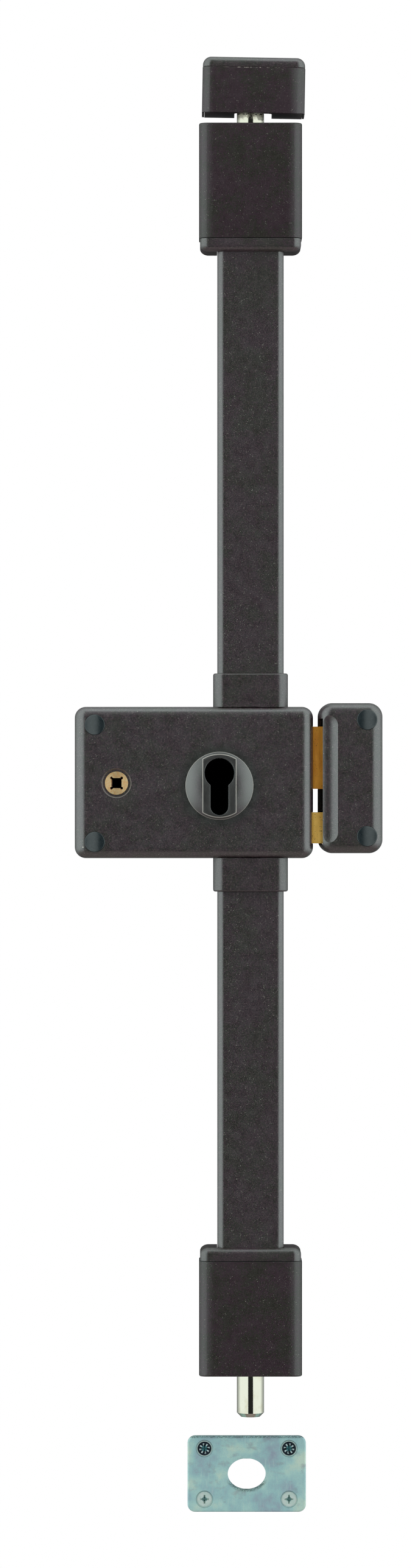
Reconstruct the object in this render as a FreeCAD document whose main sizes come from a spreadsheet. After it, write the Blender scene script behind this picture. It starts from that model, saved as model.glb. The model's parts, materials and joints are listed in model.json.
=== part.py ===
import FreeCAD, Part
import math
import os
import re
import Sketcher

# Surface-mounted multipoint lock. X runs to the right, Z runs up along the rods, and the front faces -Y.
# The origin is the axis of the round part of the cylinder hole, in the plane of the door leaf.
# A "depth" is a distance in front of the door leaf, so a point at depth d has y = -d.

SIZES = {
    # Lock case: a box open towards the door
    "case_width": 140.0,
    "backset": 55.0,
    "case_height": 88.9,
    "case_top": 38.9,
    "case_depth": 32.0,
    "case_wall": 2.0,
    "case_corner": 6.5,
    "case_edge": 6.4,
    "case_inner_edge": 3.4,
    "back_thick": 2.0,
    # Clearances between fixed pieces, turning pieces, sliding pieces and pressed pieces
    "seat_gap": 0.15,
    "running_gap": 0.1,
    "slide_gap": 0.3,
    "layer_gap": 0.5,
    "press_gap": 0.02,
    # Profile cylinder hole
    "profile_radius": 8.75,
    "profile_slot": 10.5,
    "profile_length": 33.5,
    # Round plate that guards the cylinder
    "rosette_radius": 20.0,
    "rosette_drop": 7.5,
    "rosette_rise": 4.6,
    "rosette_flat": 8.0,
    "rosette_sweep": 21.0,
    "island_width": 19.8,
    "island_radius": 18.6,
    "island_rise": 5.6,
    # Handle follower
    "follower_side": 24.6,
    "follower_z": -5.9,
    "follower_radius": 6.8,
    "follower_square": 6.0,
    "square_relief": 0.8,
    "follower_sunk": 0.5,
    "dish_radius": 7.9,
    "dish_depth": 1.0,
    "dish_bevel": 0.9,
    "arm_past": 0.4,
    "arm_radius": 3.0,
    "arm_thick": 3.0,
    "hub_collar": 10.4,
    # Fixing screws of the case, their pillars and their caps
    "case_screw_side": 11.8,
    "case_screw_down": 10.6,
    "case_screw_up": 9.6,
    "screw_hole": 2.75,
    "pillar_radius": 4.2,
    "cap_radius": 6.05,
    "cap_thick": 1.6,
    "cap_rise": 0.45,
    "cap_flat": 0.6,
    "cap_sweep": 34.0,
    # Dead bolt: brass head, steel plate and its travel
    "bolt_travel": 20.0,
    "bolt_reach": 22.0,
    "bolt_length": 31.0,
    "bolt_low": -9.3,
    "bolt_high": 27.3,
    "bolt_back": 8.5,
    "bolt_front": 26.5,
    "bolt_bevel": 0.8,
    "bolt_lap": 10.0,
    "plate_back": 9.0,
    "plate_thick": 3.0,
    "plate_left": -30.0,
    "plate_margin": 1.6,
    "plate_step": 4.5,
    "window_gap": 1.0,
    "cam_notch": 7.0,
    "cam_turn": 10.0,
    "cam_height": 15.5,
    "rivet_radius": 2.5,
    "rivet_length": 12.0,
    # Studs that guide the dead bolt plate
    "stud_x": -22.0,
    "stud_down": 14.9,
    "stud_up": 12.0,
    "stud_radius": 3.0,
    "stud_head": 4.6,
    "stud_head_thick": 1.0,
    # Spring blade that holds the plate in its places
    "blade_thick": 0.6,
    "blade_width": 4.0,
    "blade_notch": 2.0,
    # Latch: brass head, steel tail and return spring
    "latch_travel": 12.0,
    "latch_reach": 12.0,
    "latch_length": 30.0,
    "latch_up": 8.7,
    "latch_height": 18.2,
    "latch_back": 12.5,
    "latch_front": 28.5,
    "latch_tip": 5.0,
    "tail_back": 17.5,
    "tail_thick": 3.0,
    "tail_up": 17.0,
    "tail_height": 5.0,
    "tail_tongue": 9.0,
    "tab_thick": 3.5,
    "tab_rise": 4.0,
    "tab_front": 25.0,
    "tab_gap": 0.5,
    "lug_x": 8.0,
    "lug_thick": 3.0,
    "lug_up": 6.0,
    "spring_post_x": -27.0,
    "spring_radius": 3.4,
    "spring_wire": 0.9,
    "spring_turns": 9.0,
    "spring_drop": 6.5,
    "pin_radius": 1.5,
    # Shoot rods: flat bar, round bolt and drive pin
    "rod_x": 18.3,
    "rod_depth": 14.5,
    "rod_radius": 8.0,
    "rod_bevel": 2.4,
    "bar_width": 12.0,
    "bar_thick": 4.0,
    "bar_inset": 14.0,
    "bar_end_margin": 5.0,
    "drive_radius": 3.0,
    "upper_drive_down": 8.9,
    "lower_drive_up": 8.0,
    "upper_reach": 8.4,
    "lower_reach": 24.9,
    "bolt_run": 61.6,
    # Sleeves beside the case and long rod covers
    "sleeve_wall": 2.5,
    "sleeve_length": 19.7,
    "sleeve_end_edge": 1.2,
    "cover_width": 39.0,
    "cover_depth": 26.0,
    "cover_wall": 1.5,
    "cover_edge": 3.8,
    "cover_tuck": 11.6,
    # Guide boxes at the ends of the covers
    "upper_end": 382.0,
    "lower_end": 354.5,
    "guide_width": 60.6,
    "guide_depth": 30.0,
    "guide_length": 67.7,
    "guide_wall": 1.6,
    "guide_edge": 4.8,
    "guide_end_edge": 1.0,
    "end_cap_inset": 0.6,
    "end_cap_length": 10.1,
    "end_cap_edge": 5.0,
    "bracket_inset": 3.3,
    "bracket_thick": 3.0,
    "bracket_ends": 1.6,
    "lug_width": 38.0,
    "lug_plate": 4.0,
    "outer_lug": 22.0,
    "inner_lug": 50.0,
    "bracket_screw_side": 5.0,
    "bracket_screw_z": 6.5,
    "mouth_gap": 0.7,
    # Upper keeper on the door frame
    "keeper_x": 20.1,
    "keeper_low": 387.9,
    "keeper_width": 60.4,
    "keeper_length": 26.7,
    "keeper_cap": 6.1,
    "keeper_wall": 1.3,
    "keeper_lean": 1.0,
    "keeper_notch": 22.0,
    "keeper_notch_depth": 25.5,
    "keeper_notch_corner": 3.0,
    "keeper_screw_x": 11.0,
    "keeper_plate": 3.0,
    "keeper_sunk": 1.0,
    # Strike box on the door frame
    "strike_left": 58.2,
    "strike_right": 95.8,
    "strike_low": -47.1,
    "strike_high": 41.1,
    "strike_depth": 32.0,
    "strike_corner": 8.0,
    "strike_edge": 6.6,
    "strike_inner_edge": 1.0,
    "strike_wall": 2.0,
    "strike_screw_x": 86.6,
    "strike_screw_high": 31.3,
    "strike_screw_low": -37.1,
    "pocket_depth": 28.8,
    "mouth_high": 32.0,
    "mouth_low": -42.0,
    "mouth_back": 7.5,
    "mouth_lip": 2.5,
    "crease_x": 69.5,
    "scoop_radius": 12.0,
    "scoop_sunk": 1.6,
    "scoop_high": 28.0,
    "scoop_low": -35.0,
    # Floor keeper plate and its screws
    "floor_x": 16.2,
    "floor_z": -414.6,
    "floor_width": 70.0,
    "floor_height": 45.0,
    "floor_thick": 4.0,
    "floor_corner": 4.5,
    "floor_edge": 1.0,
    "floor_hole_width": 22.5,
    "floor_hole_height": 18.5,
    "floor_screw_x": 50.0,
    "floor_screw_z": 30.0,
    "floor_sink_radius": 5.2,
    "floor_head_radius": 4.5,
    "floor_neck": 2.4,
    "floor_shank": 2.2,
    "floor_screw_length": 18.0,
    "recess_width": 1.0,
    "recess_reach": 2.6,
    "recess_depth": 1.6,
}

WORD = re.compile(r"[a-z_]+")
TINY = 1e-6
FULL_TURN = 360

document = FreeCAD.newDocument("MultipointLock")
sheet = document.addObject("Spreadsheet::Sheet", "Sizes")
for row, (alias, size) in enumerate(SIZES.items(), start=1):
    sheet.set(f"A{row}", alias)
    sheet.set(f"B{row}", str(size))
    sheet.setAlias(f"B{row}", alias)
document.recompute()

nodes = {}


def formula(text):
    """The text with every size in it read from the sheet."""
    return WORD.sub(lambda word: f"Sizes.{word[0]}" if word[0] in SIZES else word[0], str(text))


def number(text):
    return float(sheet.evalExpression(formula(text)))


def bind(thing, prop, text):
    thing.setExpression(prop, formula(text))


def new_body(label):
    body = document.addObject("PartDesign::Body", label)
    body.Label = label
    nodes[label] = body
    return body


def attach(thing, body, role, start="0", x="0", y="0"):
    """Seats a sketch or primitive on one of the body's own planes, moved along that plane's normal."""
    plane = next(item for item in body.Origin.OriginFeatures if item.Role == role)
    thing.AttachmentSupport = (plane, [""])
    thing.MapMode = "FlatFace"
    bind(thing, "AttachmentOffset.Base.x", x)
    bind(thing, "AttachmentOffset.Base.y", y)
    bind(thing, "AttachmentOffset.Base.z", start)


def sketch_on(body, role, start="0"):
    sketch = body.newObject("Sketcher::SketchObject", f"{body.Label}_sketch")
    attach(sketch, body, role, start)
    return sketch


def tie(sketch, item, end, x, y):
    """Ties one point of a sketch to places measured from the sketch's origin."""
    for kind, text in (("DistanceX", x), ("DistanceY", y)):
        index = sketch.addConstraint(Sketcher.Constraint(kind, -1, 1, item, end, number(text)))
        bind(sketch, f"Constraints[{index}]", text)


def radius_of(sketch, item, text):
    index = sketch.addConstraint(Sketcher.Constraint("Radius", item, number(text)))
    bind(sketch, f"Constraints[{index}]", text)


def draw_polygon(sketch, corners):
    points = [FreeCAD.Vector(number(x), number(y), 0) for x, y in corners]
    first = sketch.GeometryCount
    for place, point in enumerate(points):
        following = points[(place + 1) % len(points)]
        sketch.addGeometry(Part.LineSegment(point, following), False)
    for place in range(len(points)):
        following = (place + 1) % len(points)
        sketch.addConstraint(Sketcher.Constraint("Coincident", first + place, 2, first + following, 1))
    for place, (x, y) in enumerate(corners):
        tie(sketch, first + place, 1, x, y)


def draw_rectangle(sketch, x_low, x_high, y_low, y_high):
    draw_polygon(sketch, [(x_low, y_low), (x_high, y_low), (x_high, y_high), (x_low, y_high)])


def draw_rounded(sketch, x_low, x_high, y_low, y_high, radius):
    """A rectangle with round corners, drawn anticlockwise as lines between quarter circles."""
    size = number(radius)
    quarter = math.pi / 2
    centres = [
        (f"{x_high} - ({radius})", f"{y_low} + {radius}"),
        (f"{x_high} - ({radius})", f"{y_high} - ({radius})"),
        (f"{x_low} + {radius}", f"{y_high} - ({radius})"),
        (f"{x_low} + {radius}", f"{y_low} + {radius}"),
    ]
    arcs = []
    for turn, (x, y) in enumerate(centres):
        circle = Part.Circle(FreeCAD.Vector(number(x), number(y), 0), FreeCAD.Vector(0, 0, 1), size)
        start = (turn - 1) * quarter
        arcs.append(sketch.addGeometry(Part.ArcOfCircle(circle, start, start + quarter), False))
    for turn, arc in enumerate(arcs):
        following = arcs[(turn + 1) % len(arcs)]
        start = sketch.getPoint(arc, 2)
        end = sketch.getPoint(following, 1)
        line = sketch.addGeometry(Part.LineSegment(start, end), False)
        sketch.addConstraint(Sketcher.Constraint("Tangent", arc, 2, line, 1))
        sketch.addConstraint(Sketcher.Constraint("Tangent", line, 2, following, 1))
    for arc, (x, y) in zip(arcs, centres):
        tie(sketch, arc, 3, x, y)
        radius_of(sketch, arc, radius)


def draw_circle(sketch, x, y, radius):
    centre = FreeCAD.Vector(number(x), number(y), 0)
    item = sketch.addGeometry(Part.Circle(centre, FreeCAD.Vector(0, 0, 1), number(radius)), False)
    tie(sketch, item, 3, x, y)
    radius_of(sketch, item, radius)


def draw_slot(sketch, start, end, radius):
    """A round-ended slot between two points, as two half circles joined by two lines."""
    first_centre = FreeCAD.Vector(number(start[0]), number(start[1]), 0)
    last_centre = FreeCAD.Vector(number(end[0]), number(end[1]), 0)
    along = last_centre.sub(first_centre).normalize()
    side = FreeCAD.Vector(-along.y, along.x, 0).multiply(number(radius))
    tip = FreeCAD.Vector(along).multiply(number(radius))
    near = sketch.addGeometry(
        Part.Arc(first_centre + side, first_centre - tip, first_centre - side), False
    )
    far = sketch.addGeometry(Part.Arc(last_centre - side, last_centre + tip, last_centre + side), False)
    one = sketch.addGeometry(Part.LineSegment(first_centre - side, last_centre - side), False)
    two = sketch.addGeometry(Part.LineSegment(last_centre + side, first_centre + side), False)
    for before, after in ((near, one), (one, far), (far, two), (two, near)):
        sketch.addConstraint(Sketcher.Constraint("Tangent", before, 2, after, 1))
    tie(sketch, near, 3, *start)
    tie(sketch, far, 3, *end)
    radius_of(sketch, near, radius)


def extrude(body, sketch, length, kind="PartDesign::Pad"):
    """Pads or pockets a sketch forward along its plane's normal."""
    feature = body.newObject(kind, f"{body.Label}_step")
    feature.Profile = sketch
    feature.Reversed = kind == "PartDesign::Pocket"
    bind(feature, "Length", length)
    return feature


def pad(body, role, start, length, draw, *places):
    sketch = sketch_on(body, role, start)
    draw(sketch, *places)
    return extrude(body, sketch, length)


def pocket(body, role, start, length, draw, *places):
    sketch = sketch_on(body, role, start)
    draw(sketch, *places)
    return extrude(body, sketch, length, "PartDesign::Pocket")


def turn_dome(body, x, z, back, rise, radius, flat, sweep):
    """Turns a disc about an axis towards the front: flat in the middle, then falling in an arc."""
    sketch = body.newObject("Sketcher::SketchObject", f"{body.Label}_sketch")
    attach(sketch, body, "YZ_Plane", x, "0", z)
    top = f"-({back}) - ({rise})"
    centre = FreeCAD.Vector(number(f"{top} + {sweep}"), number(flat), 0)
    circle = Part.Circle(centre, FreeCAD.Vector(0, 0, 1), number(sweep))
    spread = math.asin(number(f"({radius} - {flat}) / {sweep}"))
    arc = sketch.addGeometry(Part.ArcOfCircle(circle, math.pi - spread, math.pi), False)
    corners = [sketch.getPoint(arc, 1)]
    for x_text, y_text in ((f"-({back})", radius), (f"-({back})", "0"), (top, "0")):
        corners.append(FreeCAD.Vector(number(x_text), number(y_text), 0))
    corners.append(sketch.getPoint(arc, 2))
    sides = [
        sketch.addGeometry(Part.LineSegment(start, end), False)
        for start, end in zip(corners, corners[1:])
    ]
    sketch.addConstraint(Sketcher.Constraint("Coincident", arc, 1, sides[0], 1))
    for side, following in zip(sides, sides[1:]):
        sketch.addConstraint(Sketcher.Constraint("Coincident", side, 2, following, 1))
    sketch.addConstraint(Sketcher.Constraint("Coincident", sides[-1], 2, arc, 2))
    sketch.addConstraint(Sketcher.Constraint("Horizontal", sides[0]))
    tie(sketch, arc, 3, f"{top} + {sweep}", flat)
    tie(sketch, arc, 2, top, flat)
    tie(sketch, sides[0], 2, f"-({back})", radius)
    tie(sketch, sides[1], 2, f"-({back})", "0")
    tie(sketch, sides[2], 2, top, "0")
    feature = body.newObject("PartDesign::Revolution", f"{body.Label}_step")
    feature.Profile = sketch
    feature.ReferenceAxis = (sketch, ["H_Axis"])
    feature.Angle = FULL_TURN


def edge_points(edge):
    middle = edge.valueAt((edge.FirstParameter + edge.LastParameter) / 2)
    return [edge.Vertexes[0].Point, middle, edge.Vertexes[-1].Point]


def lies_at(axis, text):
    """A test for edges that lie wholly at one coordinate."""
    place = number(text)
    return lambda edge: all(abs(getattr(point, axis) - place) < TINY for point in edge_points(edge))


def runs_along(axis):
    """A test for straight edges along one axis."""

    def test(edge):
        first, middle, last = edge_points(edge)
        others = [name for name in "xyz" if name != axis]
        return all(
            abs(getattr(first, name) - getattr(point, name)) < TINY
            for name in others
            for point in (middle, last)
        )

    return test


def all_of(*tests):
    return lambda edge: all(test(edge) for test in tests)


def any_of(*tests):
    return lambda edge: any(test(edge) for test in tests)


def is_circle(x, radius):
    """A test for full circles about a vertical line at x."""
    place = number(x)
    size = number(radius)

    def test(edge):
        curve = edge.Curve
        return (
            curve.TypeId == "Part::GeomCircle"
            and abs(curve.Radius - size) < TINY
            and abs(curve.Center.x - place) < TINY
        )

    return test


def dress(body, kind, prop, size, test):
    """Rounds or bevels the edges of the body's present shape that pass the test."""
    document.recompute()
    base = body.Tip
    chosen = [f"Edge{place}" for place, edge in enumerate(base.Shape.Edges, start=1) if test(edge)]
    feature = body.newObject(kind, f"{body.Label}_edge")
    feature.Base = (base, chosen)
    bind(feature, prop, size)
    return feature


def fillet(body, radius, test):
    return dress(body, "PartDesign::Fillet", "Radius", radius, test)


def chamfer(body, size, test):
    return dress(body, "PartDesign::Chamfer", "Size", size, test)


def cylinder(label, radius, length, x, y, z, axis):
    """A plain cylinder that starts at one point and runs along an axis."""
    item = document.addObject("Part::Cylinder", label)
    item.Label = label
    item.Placement.Rotation = FreeCAD.Rotation(FreeCAD.Vector(0, 0, 1), axis)
    bind(item, "Radius", radius)
    bind(item, "Height", length)
    for name, text in (("x", x), ("y", y), ("z", z)):
        bind(item, f"Placement.Base.{name}", text)
    return item


def group(label, members):
    """Several like solids that share one node."""
    item = document.addObject("Part::Compound", label)
    item.Label = label
    item.Links = members
    nodes[label] = item
    return item


FORWARD = FreeCAD.Vector(0, -1, 0)
RIGHT = FreeCAD.Vector(1, 0, 0)

# Places worked out from the sizes
CASE_LEFT = "(backset - case_width)"
CASE_LOW = "(case_top - case_height)"
CASE_IN_LEFT = "(backset - case_width + case_wall)"
CASE_IN_RIGHT = "(backset - case_wall)"
CASE_IN_TOP = "(case_top - case_wall)"
CASE_IN_LOW = "(case_top - case_height + case_wall)"
CASE_IN_FRONT = "(case_depth - case_wall)"
SLOT_LOW = "(profile_radius + profile_slot / 2 - profile_length)"
PLATE_FRONT = "(plate_back + plate_thick)"
TAIL_FRONT = "(tail_back + tail_thick)"
ARM_BACK = "(tail_back + tail_thick + 2 * layer_gap)"
BAR_BACK = "(rod_depth - bar_thick / 2)"
BAR_FRONT = "(rod_depth + bar_thick / 2)"
BOLT_TIP = "(backset + bolt_reach)"
BOLT_TAIL = "(backset + bolt_reach - bolt_length)"
BOLT_LAP_END = "(backset + bolt_reach - bolt_length + bolt_lap)"
LATCH_TIP = "(backset + latch_reach)"
LATCH_TAIL = "(backset + latch_reach - latch_length)"
FOLLOWER_X = "(backset - case_width + follower_side)"
CASE_SCREW_X = "(backset - case_width + case_screw_side)"
CASE_SCREW_HEIGHTS = ("(case_top - case_screw_down)", "(case_top - case_height + case_screw_up)")
STUD_HEIGHTS = ("(case_top - stud_down)", "(case_top - case_height + stud_up)")
LATCH_LOW = "(case_top - case_height + latch_up)"
LATCH_HIGH = "(case_top - case_height + latch_up + latch_height)"
TAIL_LOW = "(case_top - case_height + tail_up)"
TAIL_HIGH = "(case_top - case_height + tail_up + tail_height)"
TAIL_MIDDLE = "(case_top - case_height + tail_up + tail_height / 2)"
LUG_LOW = "(case_top - case_height + lug_up)"
ARM_END = f"({TAIL_MIDDLE} - arm_past)"
TAB_RIGHT = f"({FOLLOWER_X} - arm_radius - tab_gap)"
UPPER_DRIVE = "(case_top - upper_drive_down)"
LOWER_DRIVE = "(case_height - case_top - lower_drive_up)"
DRIVE_SLOT = "(drive_radius + slide_gap)"
BLADE_X = "(stud_x + bolt_travel / 2)"
RIVET_X = "(backset + bolt_reach - bolt_length + bolt_lap / 2)"
RIVET_HEIGHTS = ("bolt_low + (bolt_high - bolt_low) / 4", "bolt_high - (bolt_high - bolt_low) / 4")
SPRING_Z = f"({TAIL_LOW} - spring_drop)"
SPRING_DEPTH = "(tail_back + tail_thick / 2)"
STRIKE_SCREW_HEIGHTS = ("strike_screw_high", "strike_screw_low")
SLEEVE_WIDTH = "(cover_width + 2 * sleeve_wall)"
SLEEVE_DEPTH = "(cover_depth + sleeve_wall)"
END_CAP_WIDTH = "(guide_width - 2 * end_cap_inset)"
BRACKET_WIDTH = "(guide_width - 2 * bracket_inset)"
BRACKET_SCREW_X = "(guide_width / 2 - bracket_inset - bracket_screw_side)"
GROUND = "0"


def cut_profile(body, start, length):
    """Cuts the cylinder hole: a round part with a narrower round-ended slot below it."""
    pocket(body, "XZ_Plane", start, length, draw_circle, "0", "0", "profile_radius")
    pocket(
        body, "XZ_Plane", start, length,
        draw_slot, ("0", "0"), ("0", SLOT_LOW), "profile_slot / 2",
    )


def make_case():
    """The painted case: a rounded box with its front, its side mouths and its rod mouths."""
    body = new_body("lock_case")
    pad(
        body, "XZ_Plane", GROUND, "case_depth",
        draw_rounded, CASE_LEFT, "backset", CASE_LOW, "case_top", "case_corner",
    )
    fillet(body, "case_edge", lies_at("y", "-case_depth"))
    pocket(
        body, "XZ_Plane", GROUND, CASE_IN_FRONT,
        draw_rounded, CASE_IN_LEFT, CASE_IN_RIGHT, CASE_IN_LOW, CASE_IN_TOP, "(case_corner - case_wall)",
    )
    fillet(body, "case_inner_edge", lies_at("y", f"-{CASE_IN_FRONT}"))
    wall_start = CASE_IN_FRONT
    cut_profile(body, wall_start, "case_wall")
    pocket(
        body, "XZ_Plane", wall_start, "case_wall",
        draw_circle, FOLLOWER_X, "follower_z", "follower_radius + running_gap",
    )
    for z in CASE_SCREW_HEIGHTS:
        pocket(
            body, "XZ_Plane", wall_start, "case_wall",
            draw_circle, CASE_SCREW_X, z, "cap_radius + press_gap",
        )
    pocket(
        body, "XZ_Plane", "case_depth - dish_depth", "dish_depth",
        draw_circle, FOLLOWER_X, "follower_z", "dish_radius",
    )
    for low, high, back, front in (
        ("bolt_low", "bolt_high", "bolt_back", "bolt_front"),
        (LATCH_LOW, LATCH_HIGH, "latch_back", "latch_front"),
    ):
        pocket(
            body, "YZ_Plane", "backset - case_edge", "case_edge",
            draw_rectangle, f"-{front} - slide_gap", f"-{back} + slide_gap",
            f"{low} - slide_gap", f"{high} + slide_gap",
        )
    for start in (CASE_IN_TOP, CASE_LOW):
        pocket(
            body, "XY_Plane", start, "case_wall",
            draw_rectangle, "rod_x - bar_width / 2 - slide_gap", "rod_x + bar_width / 2 + slide_gap",
            f"-{BAR_FRONT} - slide_gap", f"-{BAR_BACK} + slide_gap",
        )
    dish_edge = all_of(lies_at("y", "-case_depth"), is_circle(FOLLOWER_X, "dish_radius"))
    chamfer(body, "dish_bevel", dish_edge)


def make_back_plate():
    body = new_body("back_plate")
    pad(
        body, "XZ_Plane", GROUND, "back_thick",
        draw_rounded, f"{CASE_IN_LEFT} + seat_gap", f"{CASE_IN_RIGHT} - seat_gap",
        f"{CASE_IN_LOW} + seat_gap", f"{CASE_IN_TOP} - seat_gap", "(case_corner - case_wall)",
    )
    cut_profile(body, GROUND, "back_thick")
    pocket(
        body, "XZ_Plane", GROUND, "back_thick",
        draw_circle, FOLLOWER_X, "follower_z", "follower_radius + running_gap",
    )
    for z in CASE_SCREW_HEIGHTS:
        pocket(body, "XZ_Plane", GROUND, "back_thick", draw_circle, CASE_SCREW_X, z, "screw_hole")


def make_pillars(label, x, heights, back, front):
    """Tubes that take the fixing screws between the back plate and the front wall."""
    members = []
    for z in heights:
        outer = cylinder(f"{label}_tube", "pillar_radius", f"{front} - {back}", x, f"-{back}", z, FORWARD)
        bore = cylinder(f"{label}_bore", "screw_hole", f"{front} - {back}", x, f"-{back}", z, FORWARD)
        tube = document.addObject("Part::Cut", f"{label}_pillar")
        tube.Base = outer
        tube.Tool = bore
        members.append(tube)
    group(label, members)


def make_caps(label, x, heights, front):
    """Shallow domed plastic caps pressed into the front wall."""
    members = []
    for z in heights:
        cap = document.addObject("PartDesign::Body", f"{label}_cap")
        turn_dome(
            cap, x, z, f"{front} - cap_thick", "cap_thick + cap_rise",
            "cap_radius", "cap_flat", "cap_sweep",
        )
        members.append(cap)
    group(label, members)


def make_rosette():
    """The round guard: a domed disc with a flat-sided raised island round the cylinder hole."""
    body = new_body("cylinder_rosette")
    turn_dome(
        body, "0", "-rosette_drop", "case_depth", "rosette_rise",
        "rosette_radius", "rosette_flat", "rosette_sweep",
    )
    sketch = sketch_on(body, "XZ_Plane", "case_depth")
    draw_island(sketch)
    extrude(body, sketch, "island_rise")
    cut_profile(body, "case_depth", "island_rise")


def draw_island(sketch):
    """Two upright lines joined by arcs about the guard's centre."""
    centre = FreeCAD.Vector(0, -number("rosette_drop"), 0)
    half = number("island_width") / 2
    radius = number("island_radius")
    rise = (radius * radius - half * half) ** 0.5
    ends = ((half, -rise), (half, rise), (-half, rise), (-half, -rise))
    corners = [centre + FreeCAD.Vector(x, z, 0) for x, z in ends]
    top = centre + FreeCAD.Vector(0, radius, 0)
    bottom = centre - FreeCAD.Vector(0, radius, 0)
    right = sketch.addGeometry(Part.LineSegment(corners[0], corners[1]), False)
    upper = sketch.addGeometry(Part.Arc(corners[1], top, corners[2]), False)
    left = sketch.addGeometry(Part.LineSegment(corners[2], corners[3]), False)
    lower = sketch.addGeometry(Part.Arc(corners[3], bottom, corners[0]), False)
    for before, after in ((right, upper), (upper, left), (left, lower), (lower, right)):
        sketch.addConstraint(Sketcher.Constraint("Coincident", before, 2, after, 1))
    for arc in (upper, lower):
        tie(sketch, arc, 3, "0", "-rosette_drop")
        radius_of(sketch, arc, "island_radius")
    for line, text in ((right, "island_width / 2"), (left, "-island_width / 2")):
        sketch.addConstraint(Sketcher.Constraint("Vertical", line))
        index = sketch.addConstraint(Sketcher.Constraint("DistanceX", -1, 1, line, 1, number(text)))
        bind(sketch, f"Constraints[{index}]", text)


def make_follower():
    """The handle hub with its square hole and the arm that draws the latch back."""
    body = new_body("follower")
    pad(
        body, "XZ_Plane", "slide_gap", "case_depth - follower_sunk - slide_gap",
        draw_circle, FOLLOWER_X, "follower_z", "follower_radius",
    )
    pad(body, "XZ_Plane", ARM_BACK, "arm_thick", draw_circle, FOLLOWER_X, "follower_z", "hub_collar")
    pad(
        body, "XZ_Plane", ARM_BACK, "arm_thick",
        draw_slot, (FOLLOWER_X, "follower_z"), (FOLLOWER_X, ARM_END), "arm_radius",
    )
    half = "follower_square / 2"
    pocket(
        body, "XZ_Plane", GROUND, "case_depth",
        draw_rectangle, f"{FOLLOWER_X} - {half}", f"{FOLLOWER_X} + {half}",
        f"follower_z - {half}", f"follower_z + {half}",
    )
    sketch = sketch_on(body, "XZ_Plane", GROUND)
    for x in (f"{FOLLOWER_X} - {half}", f"{FOLLOWER_X} + {half}"):
        for z in (f"follower_z - {half}", f"follower_z + {half}"):
            draw_circle(sketch, x, z, "square_relief")
    extrude(body, sketch, "case_depth", "PartDesign::Pocket")


def make_dead_bolt_plate():
    """The flat steel slide: cylinder window, cam notches, guide slots and the two slanted rod slots."""
    body = new_body("dead_bolt_plate")
    top = f"{CASE_IN_TOP} - plate_margin"
    low = f"{CASE_IN_LOW} + plate_margin"
    step = f"{top} - plate_step"
    step_x = "rod_x - drive_radius - slide_gap - plate_margin"
    right = f"{BOLT_TAIL} - plate_margin"
    pad(
        body, "XZ_Plane", "plate_back", "plate_thick", draw_polygon,
        [
            ("plate_left", low), (right, low), (right, "bolt_low + plate_margin"),
            (BOLT_LAP_END, "bolt_low + plate_margin"), (BOLT_LAP_END, "bolt_high - plate_margin"),
            (right, "bolt_high - plate_margin"), (right, top), (step_x, top), (step_x, step),
            ("plate_left", step),
        ],
    )
    wide = "profile_radius + window_gap"
    narrow = "profile_slot / 2 + window_gap"
    second_notch = "cam_turn / 2 + cam_turn"
    pocket(
        body, "XZ_Plane", "plate_back", "plate_thick", draw_polygon,
        [
            (f"-({wide})", f"-({wide})"), (f"-({narrow})", f"-({wide})"),
            (f"-({narrow})", f"{SLOT_LOW} - profile_slot / 2 - window_gap"),
            (f"{narrow} + bolt_travel", f"{SLOT_LOW} - profile_slot / 2 - window_gap"),
            (f"{narrow} + bolt_travel", f"-({wide})"), (f"{wide} + bolt_travel", f"-({wide})"),
            (f"{wide} + bolt_travel", wide),
            (f"{second_notch} + cam_notch / 2", wide), (f"{second_notch} + cam_notch / 2", "cam_height"),
            (f"{second_notch} - cam_notch / 2", "cam_height"), (f"{second_notch} - cam_notch / 2", wide),
            ("cam_turn / 2 + cam_notch / 2", wide), ("cam_turn / 2 + cam_notch / 2", "cam_height"),
            ("cam_turn / 2 - cam_notch / 2", "cam_height"), ("cam_turn / 2 - cam_notch / 2", wide),
            (f"-({wide})", wide),
        ],
    )
    for z in STUD_HEIGHTS:
        pocket(
            body, "XZ_Plane", "plate_back", "plate_thick",
            draw_slot, ("stud_x", z), ("stud_x + bolt_travel", z), "stud_radius + slide_gap",
        )
    for z, end in (
        (UPPER_DRIVE, f"{UPPER_DRIVE} - bolt_travel"),
        (f"-{LOWER_DRIVE}", f"bolt_travel - {LOWER_DRIVE}"),
    ):
        pocket(
            body, "XZ_Plane", "plate_back", "plate_thick",
            draw_slot, ("rod_x", z), ("rod_x + bolt_travel", end), DRIVE_SLOT,
        )
    for turn in range(3):
        middle = f"({BLADE_X} + {turn} * cam_turn)"
        pocket(
            body, "XZ_Plane", "plate_back", "plate_thick", draw_polygon,
            [
                (f"{middle} - 2 * blade_notch", f"{step} + press_gap"),
                (middle, f"{step} - blade_notch"),
                (f"{middle} + 2 * blade_notch", f"{step} + press_gap"),
            ],
        )
    for z in RIVET_HEIGHTS:
        pocket(
            body, "XZ_Plane", "plate_back", "plate_thick",
            draw_circle, RIVET_X, z, "rivet_radius + press_gap",
        )


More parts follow.
